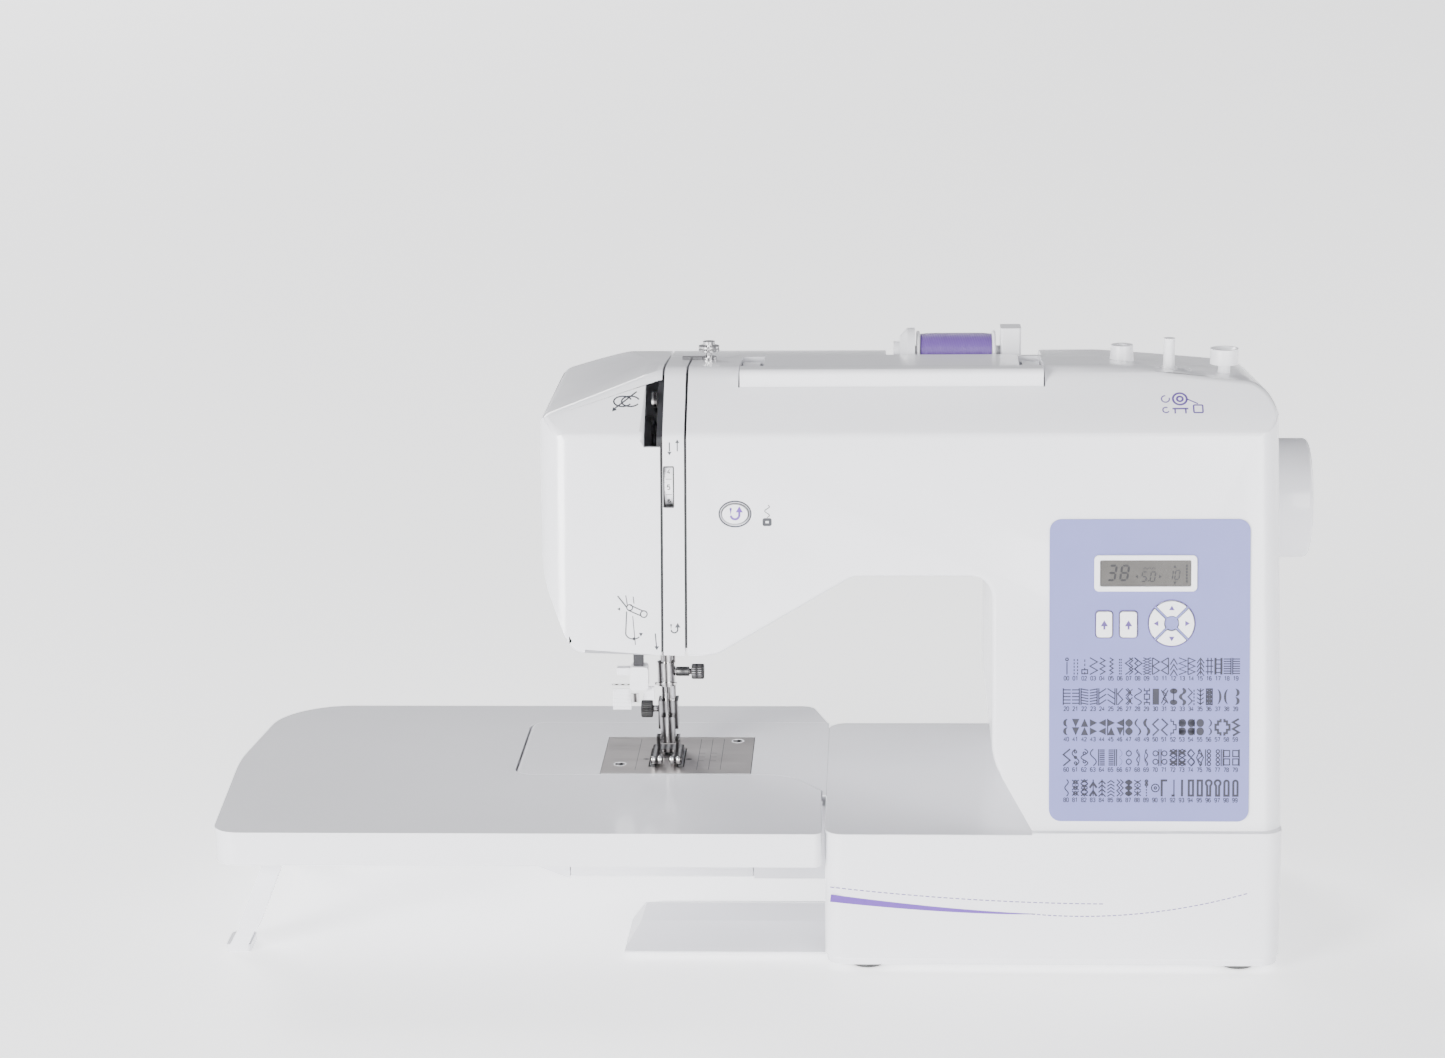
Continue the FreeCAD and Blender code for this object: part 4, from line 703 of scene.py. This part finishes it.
def zigzag(n, low=0.05, high=0.95, half=FINE):
    """n runs that cross the cell from side to side."""
    v = np.linspace(0, 2, n + 1)
    u = np.where(np.arange(n + 1) % 2 == 0, low, high)
    return [ribbon(np.column_stack((u, v)), half)]


def wave(n, amplitude=0.4, half=FINE, swell=0.0):
    """A sine line with n half waves; swell makes the middle of each half wave heavier."""
    v = np.linspace(0, 2, 12 * n + 1)
    swing = np.sin(v * n * math.pi / 2)
    return [ribbon(np.column_stack((0.5 + amplitude * swing, v)), half + swell * np.abs(swing))]


def bars(n, low=0.05, high=0.95, half=FINE, tilt=0.0):
    """n level or tilted bars."""
    v = (np.arange(n) + 0.5) * 2 / n
    return [ribbon([(low, y - tilt), (high, y + tilt)], half) for y in v]


def rail(u, half=FINE, low=0.0, high=2.0):
    """One upright line."""
    return [ribbon([(u, low), (u, high)], half)]


def dashes(n, u=0.5, half=FINE):
    """An upright line broken into n dashes."""
    edge = np.arange(n) * 2 / n
    return [ribbon([(u, y), (u, y + 1.2 / n)], half) for y in edge]


def crosses(n, half=FINE):
    """n diagonal crosses."""
    v, h = (np.arange(n) + 0.5) * 2 / n, 0.8 / n
    return [ribbon([(0.1, y - s * h), (0.9, y + s * h)], half) for y in v for s in (1, -1)]


def diamonds(n, half=FINE):
    """n open diamonds."""
    v, h = (np.arange(n) + 0.5) * 2 / n, 0.95 / n
    return [ribbon([(0.1, y), (0.5, y + h), (0.9, y), (0.5, y - h)], half, closed=True) for y in v]


def chevrons(n, half=FINE, rise=0.3):
    """n roof shapes."""
    v = (np.arange(n) + 0.3) * 2 / n
    return [ribbon([(0.08, y - rise / 2), (0.5, y + rise / 2), (0.92, y - rise / 2)], half)
            for y in v]


def satin(n, shape):
    """n solid shapes: the half width of an upright stroke follows the shape function."""
    t = np.linspace(0.02, 0.98, 14)
    return [ribbon(np.column_stack((np.full(14, 0.5), (i + t) * 2 / n)), 0.01 + 0.44 * shape(t))
            for i in range(n)]


def flags(n, side):
    """n solid triangles that point to one side."""
    v, h = (np.arange(n) + 0.5) * 2 / n, 0.9 / n
    root, tip = (0.08, 0.92) if side > 0 else (0.92, 0.08)
    return [ribbon([(root, y), (tip, y)], (h, 0.02)) for y in v]


def squares(n, half=FINE, width=0.34):
    """n open squares."""
    v, h = (np.arange(n) + 0.5) * 2 / n, 0.72 / n
    return [ribbon([(0.5 - width, y - h), (0.5 + width, y - h), (0.5 + width, y + h),
                    (0.5 - width, y + h)], half, closed=True) for y in v]


def rings(n, half=FINE, radius=0.3):
    """n small rings."""
    return [ring(0.5, (i + 0.5) * 2 / n, radius, half, 14) for i in range(n)]


def crescent(n, side, half=0.12):
    """n solid crescents open to one side."""
    turn = (-70, 70) if side > 0 else (250, 110)
    swell = 0.02 + half * np.sin(np.linspace(0, math.pi, 14))
    return [ribbon(arc(0.5 - side * 0.25, (i + 0.5) * 2 / n, (0.5, 0.95 / n), *turn, 14), swell)
            for i in range(n)]


def steps(side, half=FINE):
    """A stepped line."""
    u = np.array((0.2, 0.2, 0.5, 0.5, 0.8, 0.8, 0.5, 0.5, 0.2, 0.2))
    v = np.array((0.0, 0.3, 0.3, 0.7, 0.7, 1.3, 1.3, 1.7, 1.7, 2.0))
    return [ribbon(np.column_stack((u if side > 0 else 1 - u, v)), half)]


def buttonhole(kind):
    """A bold upright buttonhole with square, round or keyhole top."""
    top = {"square": [(0.75, 1.9), (0.25, 1.9)], "round": arc(0.5, 1.65, 0.25, 0, 180, 9),
           "keyhole": np.vstack(([(0.68, 1.25)], arc(0.5, 1.6, 0.34, -35, 215, 13), [(0.32, 1.25)]))}
    foot = 0.32 if kind == "keyhole" else 0.25
    path = np.vstack(([(1 - foot, 0.1)], top[kind], [(foot, 0.1)]))
    return [ribbon(path, BOLD, closed=True)]


TRIANGLE = lambda t: 1 - t
HANGING = lambda t: t
LEAF = lambda t: np.sin(math.pi * t) ** 0.8
DISC = lambda t: np.sqrt(np.maximum(0, 1 - (2 * t - 1) ** 2))
BLOCK = lambda t: np.full_like(t, 0.85)

CHART = [
    [rings(5, radius=.16)[4:] + rail(.5, high=1.5), dashes(5, .3) + dashes(5, .7),
     dashes(4) + squares(3)[:1], zigzag(4), zigzag(6, .2, .8), zigzag(8, .3, .7),
     dashes(6, .4) + dashes(6, .6), zigzag(3) + zigzag(6, .5, .9),
     zigzag(3, .95, .05) + zigzag(6, .1, .5), zigzag(6) + zigzag(6, .95, .05),
     rail(.08) + zigzag(4, .1, .9), rail(.92) + zigzag(4, .9, .1), chevrons(3, .07, .7),
     zigzag(6, half=.07), rail(.08) + zigzag(6, .1, .9), chevrons(4, FINE, .6) + dashes(4),
     rail(.3) + rail(.7) + bars(3), rail(.15, BOLD) + rail(.85, BOLD) + bars(4),
     rail(.92) + bars(7), rail(.08) + bars(7)],
    [rail(.08) + bars(5), rail(.92) + bars(5), rail(.08) + bars(6, tilt=-.08),
     rail(.92) + bars(6, tilt=.08),
     rail(.08) + bars(3, tilt=.3), rail(.92) + bars(3, tilt=-.3), rail(.08) + zigzag(3, .2, .8),
     crosses(2) + zigzag(4, .3, .7), wave(3), steps(1) + steps(-1), satin(1, BLOCK),
     zigzag(5, .3, .7) + crosses(1), rail(.5) + satin(3, DISC)[::2], wave(3, .25, .1, .1),
     zigzag(4, .1, .6) + dashes(5, .8),
     rail(.5) + bars(4, .5, .9, tilt=.15) + bars(4, .1, .5, tilt=-.15), squares(4) + crosses(4),
     crescent(1, 1), crescent(1, -1), crescent(2, 1, .16)],
    [crescent(2, -1, .16), satin(2, HANGING), satin(2, TRIANGLE), flags(2, 1), flags(2, -1),
     rail(.08) + satin(2, TRIANGLE)[:1] + flags(2, 1)[1:],
     rail(.92) + satin(2, HANGING)[:1] + flags(2, -1)[1:],
     satin(2, LEAF), wave(2, .3, .05, .06), wave(2, .25, .08, .1), zigzag(3, .15, .85, .09),
     zigzag(3, .85, .15, .09), steps(1, .07), flags(2, 1) + satin(2, DISC), flags(2, -1) + satin(2, DISC),
     satin(2, DISC), crescent(2, 1, .08), steps(-1, BOLD), steps(1, BOLD), zigzag(5, .15, .85, .12)],
    [zigzag(3, .1, .9, .09), wave(2) + rings(3, radius=.14), wave(3) + rings(2, radius=.16), wave(2, .35),
     rail(.08) + bars(9, .2, .8), rail(.92) + bars(9, .2, .8), crescent(2, 1, 0) + rail(.1),
     crescent(2, -1, 0) + rings(2), crescent(1, 1, .02) + wave(4, .12),
     crescent(1, -1, .02) + wave(4, .12), rail(.9) + rings(2), rail(.1) + rings(2),
     rail(.9) + diamonds(4) + crosses(3), rail(.1) + diamonds(4) + crosses(3), wave(2) + diamonds(2),
     wave(4, .2) + diamonds(1), rail(.1) + rings(4, radius=.2), rail(.9) + rings(4, radius=.2),
     rail(.08) + squares(2), rail(.92) + squares(2)],
    [wave(3, .2), crosses(3) + rings(3, radius=.22), crosses(4) + diamonds(2),
     rail(.5) + chevrons(2, BOLD, .6), rail(.5) + chevrons(4, .08, .4), chevrons(5, .07, .3),
     zigzag(6, .15, .5) + zigzag(6, .55, .9),
     rail(.5, BOLD) + satin(3, LEAF), crosses(3, .07) + dashes(5), rings(5, radius=.16)[3:] + dashes(6),
     rings(1, radius=.46) + rings(3, radius=.14)[1:2],
     rail(.2, BOLD) + [ribbon([(.15, 1.9), (.85, 1.9)], BOLD)],
     rail(.6) + [ribbon([(.3, .1), (.7, .1)], BOLD)], rail(.5, BOLD), buttonhole("square"),
     buttonhole("square"), buttonhole("keyhole"), buttonhole("keyhole"), buttonhole("round"),
     buttonhole("round")],
]
CHART_X, CHART_Z = (119.0, 209.1), (89.2, 164.1)


def stitch_chart():
    """Five rows of twenty stitch shapes, each with its two-figure number below."""
    column = (CHART_X[1] - CHART_X[0]) / 20
    row_pitch = up_face(CHART_Z[1]) - up_face(CHART_Z[0])
    row_pitch = row_pitch / 4.86
    top = up_face(CHART_Z[1])
    shapes, numbers = [], []
    for r, row in enumerate(CHART):
        foot = top - r * row_pitch - 8.8
        for c, strokes in enumerate(row):
            left = CHART_X[0] + c * column
            shapes += moved(strokes, left + 0.35, foot, 4.3)
            numbers += numerals(f"{20 * r + c:02d}", left + column / 2, foot - 2.9, 2.0, 0.21)
    out = face_height("control_panel")
    printed("chart_shapes", shapes, on_face, "root", "dark_plastic", DARK_INK, out)
    printed("chart_numbers", numbers, on_face, "root", "dark_plastic", DARK_INK, out)


def triangle_mark(u, v, size, turn=0.0):
    """A solid triangle pointing up, turned by degrees about its middle."""
    points, faces = ribbon([(0, -0.4 * size), (0, 0.5 * size)], (0.55 * size, 0.02))
    a = math.radians(turn)
    x, y = points[:, 0].copy(), points[:, 1].copy()
    points[:, 0] = x * math.cos(a) - y * math.sin(a) + u
    points[:, 1] = x * math.sin(a) + y * math.cos(a) + v
    return points, faces


def display_marks():
    """What the display shows: stitch number, width and length with their small pointers."""
    left = drawing_box("lcd_screen")[0][0]
    v = up_face(203.0)
    strokes = []
    for i, digit in enumerate("38"):
        strokes += display_digit(digit, left + 3.6 + 6.3 * i, v, 7.4, 0.55)
    for u, digit in ((20.6, "5"), (25.0, "0")):
        strokes += display_digit(digit, left + u, v - 0.6, 4.8, 0.32)
    strokes.append(ribbon([(left + 24.2, v - 0.6), (left + 24.2, v + 0.1)], 0.3))
    for u, digit in ((34.0, "1"), (37.4, "0")):
        strokes += display_digit(digit, left + u, v + 0.4, 4.6, 0.3)
    strokes += [triangle_mark(left + 18.4, v + 1.8, 1.5, 90),
                triangle_mark(left + 30.2, v + 1.8, 1.5, -90),
                triangle_mark(left + 37.6, v + 6.9, 1.5), triangle_mark(left + 37.6, v - 1.4, 1.5, 180)]
    peaks = np.column_stack((left + np.linspace(21.5, 28.0, 7), v + 5.6 + 0.9 * (np.arange(7) % 2)))
    strokes.append(ribbon(peaks, 0.14))
    strokes += [ribbon([(left + 43.6, v + y), (left + 43.6, v + y + 1.1)], 0.45)
                for y in np.arange(-1.2, 7.0, 1.6)]
    printed("display_marks", strokes, on_face, "root", "dark_plastic", BLACK_INK_AND_PAINTED_SHADOW,
            face_height("lcd_screen"))


def turn_arrow(u, v, size, half):
    """A U-turn arrow: down the left, round the foot and up to a head on the right."""
    path = np.vstack(([(-0.5, 0.7), (-0.5, 0.0)], arc(0, 0, 0.5, 180, 360, 12), [(0.5, 0.35)]))
    head = triangle_mark(0.5, 0.6, 0.75)
    hook = ribbon([(-0.62, 0.7), (-0.38, 0.7)], half / size)
    return moved([ribbon(path, half / size), head, hook], u, v, size)


def button_marks():
    """Arrows on the buttons and the dark line round each of them."""
    top = face_height("mode_button_left")
    for name, node in (("mode_left", "mode_button_left"), ("mode_right", "mode_button_right")):
        low, high = drawing_box(node)
        u, v = (low[0] + high[0]) / 2, up_face((low[2] + high[2]) / 2)
        strokes = [triangle_mark(u, v + 0.8, 3.4), ribbon([(u, v - 2.2), (u, v + 0.2)], 0.5)]
        printed(node + "_mark", strokes, on_face, name, "grey_plastic", LILAC_INK, top)
    centre = (174.3, up_face(181.3))
    for i, side in enumerate(("up", "left", "down", "right")):
        a = math.radians(90 + 90 * i)
        mark = triangle_mark(centre[0] + 7.8 * math.cos(a), centre[1] + 7.8 * math.sin(a), 2.6, 90 * i)
        printed(f"arrow_button_{side}_mark", [mark], on_face, f"arrow_{side}", "grey_plastic",
                LILAC_INK, face_height(f"arrow_button_{side}"))
    printed("reverse_button_mark", turn_arrow(-47.1, up_face(236.0), 4.4, 0.55), on_face, "reverse",
            "thread_purple", PURPLE_INK, face_height("reverse_button"))
    rings_on_cover = [ribbon(arc(-47.1, up_face(236.4), (8.1, 6.5), 0, 354, 60), 0.32, closed=True)]
    printed("reverse_button_ring", rings_on_cover, on_face, "root", "dark_plastic", DARK_INK)
    window = rounded_frame((-83.2, -78.6), (up_face(240.0), up_face(260.0)), 0.6, 0.2, 0.3)
    printed("dial_window_line", [window], on_face, "root", "dark_plastic", BLACK_INK_AND_PAINTED_SHADOW)
    lines = []
    for x in ((136.2, 144.3), (148.2, 156.8)):
        lines.append(rounded_frame(x, (up_face(174.2), up_face(187.3)), 1.9, 0.45, 0.13))
    lines.append(ring(centre[0], centre[1], 12.0, 0.14, 64))
    printed("button_outlines", lines, on_face, "root", "dark_plastic", LILAC_INK,
            face_height("control_panel"))


def rounded_frame(u, v, radius, grow, half):
    """A closed line round a rectangle with rounded corners."""
    (u0, u1), (v0, v1) = (u[0] - grow, u[1] + grow), (v[0] - grow, v[1] + grow)
    corners = ((u1, v1, 0), (u0, v1, 90), (u0, v0, 180), (u1, v0, 270))
    arcs = [arc(cu - math.copysign(radius, cu - (u0 + u1) / 2),
                cv - math.copysign(radius, cv - (v0 + v1) / 2), radius, a, a + 90, 7)
            for cu, cv, a in corners]
    return ribbon(np.vstack(arcs), half, closed=True)


def base_stripes():
    """Purple swoosh and two dashed lines across the front of the base."""
    t = np.linspace(0, 1, 60)
    swoosh = np.column_stack((1.0 + 105.0 * t, 40.6 - 8.2 * (1 - (1 - t) ** 1.6)))
    printed("base_swoosh", [ribbon(swoosh, 0.12 + 1.9 * (1 - t) ** 0.8)], on_base_front, "root",
            "thread_purple", PURPLE_INK)
    dashes_drawn = dashed(curve_through((0.8, 46.6), (60.0, 41.0), (141.5, 38.0)), 46)
    dashes_drawn += dashed(curve_through((104.0, 32.4), (165.0, 33.5), (214.6, 44.2)), 40)
    printed("base_dashes", dashes_drawn, on_base_front, "root", "thread_purple", LILAC_INK)


def curve_through(a, b, c):
    """The parabola through three points, as a function of 0 to 1 along its x."""
    x, y = np.array((a, b, c)).T
    fit = np.polyfit(x, y, 2)
    return lambda t: np.column_stack((x[0] + (x[2] - x[0]) * t,
                                      np.polyval(fit, x[0] + (x[2] - x[0]) * t)))


def dashed(curve, count, half=0.26):
    """Short strokes along a curve, with gaps a third of their pitch."""
    return [ribbon(curve((i + np.linspace(0, 0.66, 3)) / count), half) for i in range(count)]


def lock_strokes():
    """Tie-off lock beside the reverse button: a rounded frame with a wavy line above it."""
    foot = up_face(231.0)
    coil = np.linspace(0, 1, 24)
    thread = np.column_stack((-30.8 + 1.2 * np.sin(coil * 9), foot + 3.6 + 6.4 * coil))
    return [rounded_frame((-32.4, -29.2), (foot, foot + 2.6), 0.3, 0, 0.75), ribbon(thread, 0.22)]


def needle_threading_strokes():
    """Needle and thread pictogram, low on the head."""
    thread = np.vstack(([(-3.0, 17.4), (-3.4, 9.0)], arc(0.4, 6.4, (4.0, 3.2), 190, 320, 14)))
    strokes = [ribbon([(0.1, 15.0), (1.4, 0.2)], 0.22), ribbon(thread, 0.3),
               triangle_mark(4.4, 5.8, 2.0, -60), triangle_mark(0.2, 3.3, 1.7, 90),
               ribbon([(-7.6, 25.4), (-3.0, 19.6)], 0.35), ribbon([(-3.4, 25.6), (-2.6, 20.6)], 0.25),
               ribbon([(0.4, 25.0), (0.8, 21.4)], 0.25), ribbon([(-1.2, 20.6), (5.4, 17.6)], 0.28),
               ribbon([(-2.2, 18.0), (4.6, 15.0)], 0.28), ring(5.8, 16.0, 1.7, 0.32, 20),
               ring(-1.4, 19.4, 1.5, 0.3, 18), triangle_mark(-7.0, 18.6, 1.6, 90)]
    return moved(strokes, -99.8, up_face(170.0))


def strip_arrow_strokes():
    """Arrows down, round and up on the strip between the slots, and one to the left of it."""
    strokes = [ribbon([(x, up_face(268)), (x, up_face(272.5))], 0.3) for x in (-80.4, -76.4)]
    strokes += [triangle_mark(-80.4, up_face(267), 2.0, 180), triangle_mark(-76.4, up_face(273), 2.0)]
    strokes += turn_arrow(-78.4, up_face(178.0), 3.4, 0.36)
    strokes.append(ribbon([(-87.6, up_face(169)), (-88.2, up_face(176))], 0.3))
    strokes.append(triangle_mark(-87.5, up_face(168.6), 2.2, 180))
    return strokes


def take_up_strokes():
    """Take-up pictogram on the shoulder of the head: two loops and an arrow."""
    foot = 16.0
    strokes = [ribbon(arc(x, foot + 5, (4.6, 3.2), 20, 330, 18), 0.42) for x in (-105.0, -101.0)]
    strokes.append(ribbon([(-109, foot + 0.5), (-98, foot + 11)], 0.42))
    strokes.append(triangle_mark(-109.4, foot - 0.2, 2.6, 140))
    return strokes


def bobbin_winding_strokes():
    """Bobbin winding pictogram, on the shoulder."""
    u, s, size, drop = 179.0, 19.0, 1.35, 3.4
    strokes = [ring(u, s + 4.4, 2.6, 0.4, 24), ring(u, s + 4.4, 1.1, 0.4, 18),
               ribbon([(u - 3, s), (u + 3, s)], 0.35), ribbon([(u - 2, s - 2.2), (u - 2, s)], 0.3),
               ribbon([(u + 2, s - 2.2), (u + 2, s)], 0.3),
               rounded_frame((u + 5.0, u + 8.4), (s - 1.8, s + 1.6), 0.4, 0, 0.3),
               ribbon([(u + 2.6, s + 4.4), (u + 6.7, s + 2.2)], 0.25),
               ribbon(arc(u - 5.4, s + 4.4, 1.5, 90, 380, 14), 0.26),
               ribbon(arc(u - 5.4, s - 0.6, 1.2, 60, 330, 12), 0.26)]
    return moved(strokes, (1 - size) * u, (1 - size) * s - drop, size)


def head_marks():
    """Threading pictograms on the head, the strip and the shoulder, and the lock mark."""
    face_strokes = lock_strokes() + needle_threading_strokes() + strip_arrow_strokes()
    printed("head_pictograms", face_strokes, on_face, "root", "grey_plastic", GREY_INK)
    printed("shoulder_pictogram", take_up_strokes(), on_shoulder, "root", "grey_plastic", GREY_INK)
    printed("winder_pictogram", bobbin_winding_strokes(), on_shoulder, "root", "thread_purple",
            LILAC_INK)


def dial_marks():
    """Numbers round the tension dial's rim, each with a tick beside it."""
    low, high = drawing_box("tension_dial")
    radius = (high[2] - low[2]) / 2
    middle = (low + high) / 2

    def on_rim(p):
        angle = p[:, 1] / radius
        r = radius + p[:, 2]
        return np.column_stack((p[:, 0], middle[1] - r * np.cos(angle), middle[2] + r * np.sin(angle)))

    strokes = []
    for step in range(9):
        around = (4 - step) * 8.2
        strokes += numerals(str(step + 1), middle[0], around - 1.2, 2.4, 0.22)
        strokes.append(ribbon([(middle[0] - 1.6, around - 4.1), (middle[0] + 1.6, around - 4.1)], 0.14))
    printed("tension_numbers", strokes, on_rim, "tension_wheel", "dark_plastic", BLACK_INK_AND_PAINTED_SHADOW)


# ---------------------------------------------------------------- turned and wound pieces
def smooth_handwheel():
    """Handwheel: one plain drum with rounded rims and a shallow dish in its end."""
    low, high = drawing_box("handwheel")
    centre = ((low[1] + high[1]) / 2, (low[2] + high[2]) / 2)
    radius, end = (high[2] - low[2]) / 2, high[0]
    start = end - 22.0
    rim = arc(end - 3.0, radius - 3.0, 3.0, 90, 0, 9)
    back = arc(start + 1.2, radius - 1.2, 1.2, 180, 90, 6)
    dish = [(end, radius - 7.0), (end - 0.5, radius - 8.2), (end - 1.4, radius - 12.0),
            (end - 1.8, 8.0), (end - 1.8, 0.001)]
    inner = [(start + 0.001, radius - 5.0), (start + 10.0, radius - 6.0), (start + 12.0, 12.0),
             (start + 12.0, 8.6), (low[0], 8.6), (low[0], 4.0)]
    profile = np.vstack((inner[::-1], back, rim, dish))
    points, faces = turned(profile, "x", centre, 96)
    return piece("handwheel_drum", points, faces, "upper_shaft", "white_shell", replaces=("handwheel",))


def wound_spool():
    """Thread spool: a barrel of close windings between two thin flanges."""
    low, high = drawing_box("thread_spool")
    centre = ((low[1] + high[1]) / 2, (low[2] + high[2]) / 2)
    radius = (high[2] - low[2]) / 2
    x = np.linspace(low[0] + 2.2, high[0] - 2.2, 240)
    swell = 1 - 0.05 * np.abs(np.linspace(-1, 1, 240)) ** 6
    winding = (radius - 1.2) * swell + 0.14 * np.sin(x * 2 * math.pi / 0.62)
    profile = np.vstack(([(x[0], 3.0)], np.column_stack((x, winding)), [(x[-1], 3.0)]))
    points, faces = turned(profile, "x", centre, 56)
    piece("spool_winding", points, faces, "spool", "thread_purple")
    flange = []
    for x0, x1 in ((low[0], low[0] + 2.0), (high[0] - 2.0, high[0])):
        edge = arc((x0 + x1) / 2, radius - 1.0, 1.0, 180, 0, 9)
        flange.append(turned(np.vstack(([(x0, 2.6)], edge, [(x1, 2.6)])), "x", centre, 56))
    inside = (low[0] + 0.2, high[0] - 0.2)
    flange.append(turned([(inside[0], 2.6), (inside[0], 3.4), (inside[1], 3.4), (inside[1], 2.6),
                          (inside[0], 2.6)], "x", centre, 40))
    points, faces = joined(flange)
    piece("spool_flanges", points, faces, "spool", "button_white",
          replaces=("thread_spool",))


# ---------------------------------------------------------------- needle area
NEEDLE_AXIS = (-90.0, 131.0)                      # x, y of the needle bar
CLAMP_SCREW = (131.0, 124.0)                      # y, z of the needle clamp screw
PRESSER_SCREW = (146.5, 98.0)                     # y, z of its dark head, 0.5 in front of its axis
PLATE_X, PLATE_Y = (-125.0, -43.5), (100.6, 168.0)
PLATE_SCREWS = ((-115.4, 117.9), (-52.6, 160.7))
BED_Z = 75.0


def knurled_head(name, x, radius, centre, body):
    """Thumb screw head: a turned barrel whose radius rises and falls in fine ridges round it."""
    steps, ridges, depth, edge = 144, 24, 0.035, 0.5
    profile = [(x[0], 0.3), (x[0], radius - edge), (x[0] + edge, radius), (x[1] - edge, radius),
               (x[1], radius - edge), (x[1] - 0.01, radius - 1.6), (x[1] - 0.6, radius - 2.0),
               (x[1] - 0.6, 0.3)]
    points, faces = turned(profile, "x", (0.0, 0.0), steps)
    turn = np.arctan2(points[:, 2], points[:, 1])
    far = np.hypot(points[:, 1], points[:, 2]) > radius - 0.7
    swell = 1 + depth * far * (np.cos(turn * ridges) - 1)
    points[:, 1] = points[:, 1] * swell + centre[0]
    points[:, 2] = points[:, 2] * swell + centre[1]
    return piece(name, points, faces, body, "dark_plastic", KNURLED_BLACK, smooth=False)


def sleeve(name, x, radius, centre, body, slot, finish):
    """A round sleeve along the machine's width, closed at its ends."""
    profile = [(x[0], 0.2), (x[0], radius - 0.3), (x[0] + 0.3, radius), (x[1] - 0.3, radius),
               (x[1], radius - 0.3), (x[1], 0.2)]
    points, faces = turned(profile, "x", centre, 40)
    return piece(name, points, faces, body, slot, finish)


def cuboid(x, y, z):
    """Points and faces of a box."""
    points = [(x[i & 1], y[i >> 1 & 1], z[i >> 2]) for i in range(8)]
    return points, [(0, 1, 3, 2), (4, 6, 7, 5), (0, 4, 5, 1), (2, 3, 7, 6), (0, 2, 6, 4), (1, 5, 7, 3)]


def thumb_screws():
    """Dark knurled screws of the needle clamp and of the presser foot holder."""
    knurled_head("clamp_screw_head", (-76.2, -69.3), 4.2, CLAMP_SCREW, "needle_slide_bar")
    sleeve("clamp_screw_sleeve", (-84.8, -77.4), 2.6, CLAMP_SCREW, "needle_slide_bar", "dark_plastic",
           KNURLED_BLACK)
    knurled_head("presser_screw_head", (-105.2, -98.8), 4.8, PRESSER_SCREW, "presser")


def threader_details():
    """The needle threader's black cap, its ribbed guard and its wire."""
    cap = piece("threader_cap", *cuboid((-107.0, -101.5), (116.5, 121.5), (130.8, 139.0)), "threader",
                "dark_plastic", smooth=False)
    edge_round(cap, 0.5)
    ribs = [cuboid((-118.5, -108.5), (116.6, 117.6), (106.4, 118.0))]
    ribs += [cuboid((-118.3, -109.4), (116.1, 116.7), (z, z + 0.7))
             for z in np.arange(107.6, 117.5, 2.2)]
    guard = piece("threader_guard", *joined(ribs), "threader", "button_white", smooth=False)
    edge_round(guard, 0.2)
    wires = [cuboid((-119.0, -105.5), (115.4, 116.2), (120.4, 121.2)),
             cuboid((-108.4, -104.0), (113.2, 114.0), (111.5, 116.5))]
    wire = piece("threader_wire", *joined(wires), "threader", "bright_steel", smooth=False)
    edge_round(wire, 0.2)


def foot_toe_tips():
    """Four rounded tips in a row on the toes of the foot: half a sine wave turned round."""
    t = np.linspace(0, math.pi, 9)
    profile = np.column_stack((113.0 - 1.2 * np.cos(t), 0.001 + 1.75 * np.sin(t)))
    toes = [turned(profile, "y", (NEEDLE_AXIS[0] + x, 79.2), 24) for x in (-7.0, -3.2, 3.2, 7.0)]
    piece("foot_toe_tips", *joined(toes), "foot", "bright_steel")


def plate_marks():
    """Seam lines round the needle plate, its engraved gauge lines, and painted highlights on its screw
    rims and along its front edge.
    """
    on_bed = on_level(BED_Z)
    front, x = PLATE_Y[0], PLATE_X
    lines = [ribbon([(x[0], front - 0.25), (x[1], front - 0.25)], 0.3),
             ribbon([(x[0] - 0.1, front), (x[0] - 0.1, PLATE_Y[1])], 0.14),
             ribbon([(x[1] + 0.15, front), (x[1] + 0.15, PLATE_Y[1])], 0.22)]
    for u in (-101.6, -78.2):
        lines.append(ribbon([(u - 1.7, 127.0), (u, 127.0), (u + 1.7, 127.0)], (0.4, 1.0, 0.4)))
    printed("plate_seams", lines, on_bed, "root", "dark_plastic", BLACK_INK_AND_PAINTED_SHADOW)
    gauge = [ribbon([(u, 108.0), (u, 164.0)], 0.12) for u in (-106.5, -73.0, -66.6, -60.2)]
    gauge += [ribbon([(u, v), (u + 3.4, v)], 0.14) for u in (-73.0, -66.6)
              for v in (124.0, 131.0, 138.0)]
    printed("plate_gauge", gauge, on_bed, "root", "grey_plastic", GREY_INK)
    # painted highlights: white rings round the plate screws and a white line along the plate's front
    # edge, where the metal catches light
    rims = [ring(*place, 3.2, 0.32, 32, out=0.1) for place in PLATE_SCREWS]
    rims.append(ribbon([(x[0] + 0.2, front + 0.4), (x[1] - 0.2, front + 0.4)], 0.2, out=0.08))
    printed("plate_painted_highlights", rims, on_bed, "root", "button_white")


def arm_gap_lines():
    """The dark gap between the free arm and the table, behind it and in front of it."""
    gaps = [ribbon([(-150.0, 196.35), (-8.0, 196.35)], 0.25),
            ribbon([(-162.0, 99.2), (-30.0, 99.2)], 0.2)]
    printed("arm_gap_lines", gaps, on_level(BED_Z - 0.3), "root", "grey_plastic", GREY_INK)


def slot_shadows():
    """Painted shadow just inside the two thread slots of the head: a black sheet set into each slot where
    its shade falls.
    """
    lines = [ribbon([(x, up_face(low)), (x, up_face(275.0))], 0.62, out=0.6)
             for x, low in zip(SLOT_X, (166.5, 168.5))]
    printed("slot_shadows", lines, on_face, "root", "dark_plastic", BLACK_INK_AND_PAINTED_SHADOW, -1.4)


finish_cad_nodes()
camera()
studio()
covers()
small_parts()
stitch_chart()
display_marks()
button_marks()
base_stripes()
head_marks()
dial_marks()
smooth_handwheel()
wound_spool()
thumb_screws()
threader_details()
foot_toe_tips()
plate_marks()
arm_gap_lines()
slot_shadows()
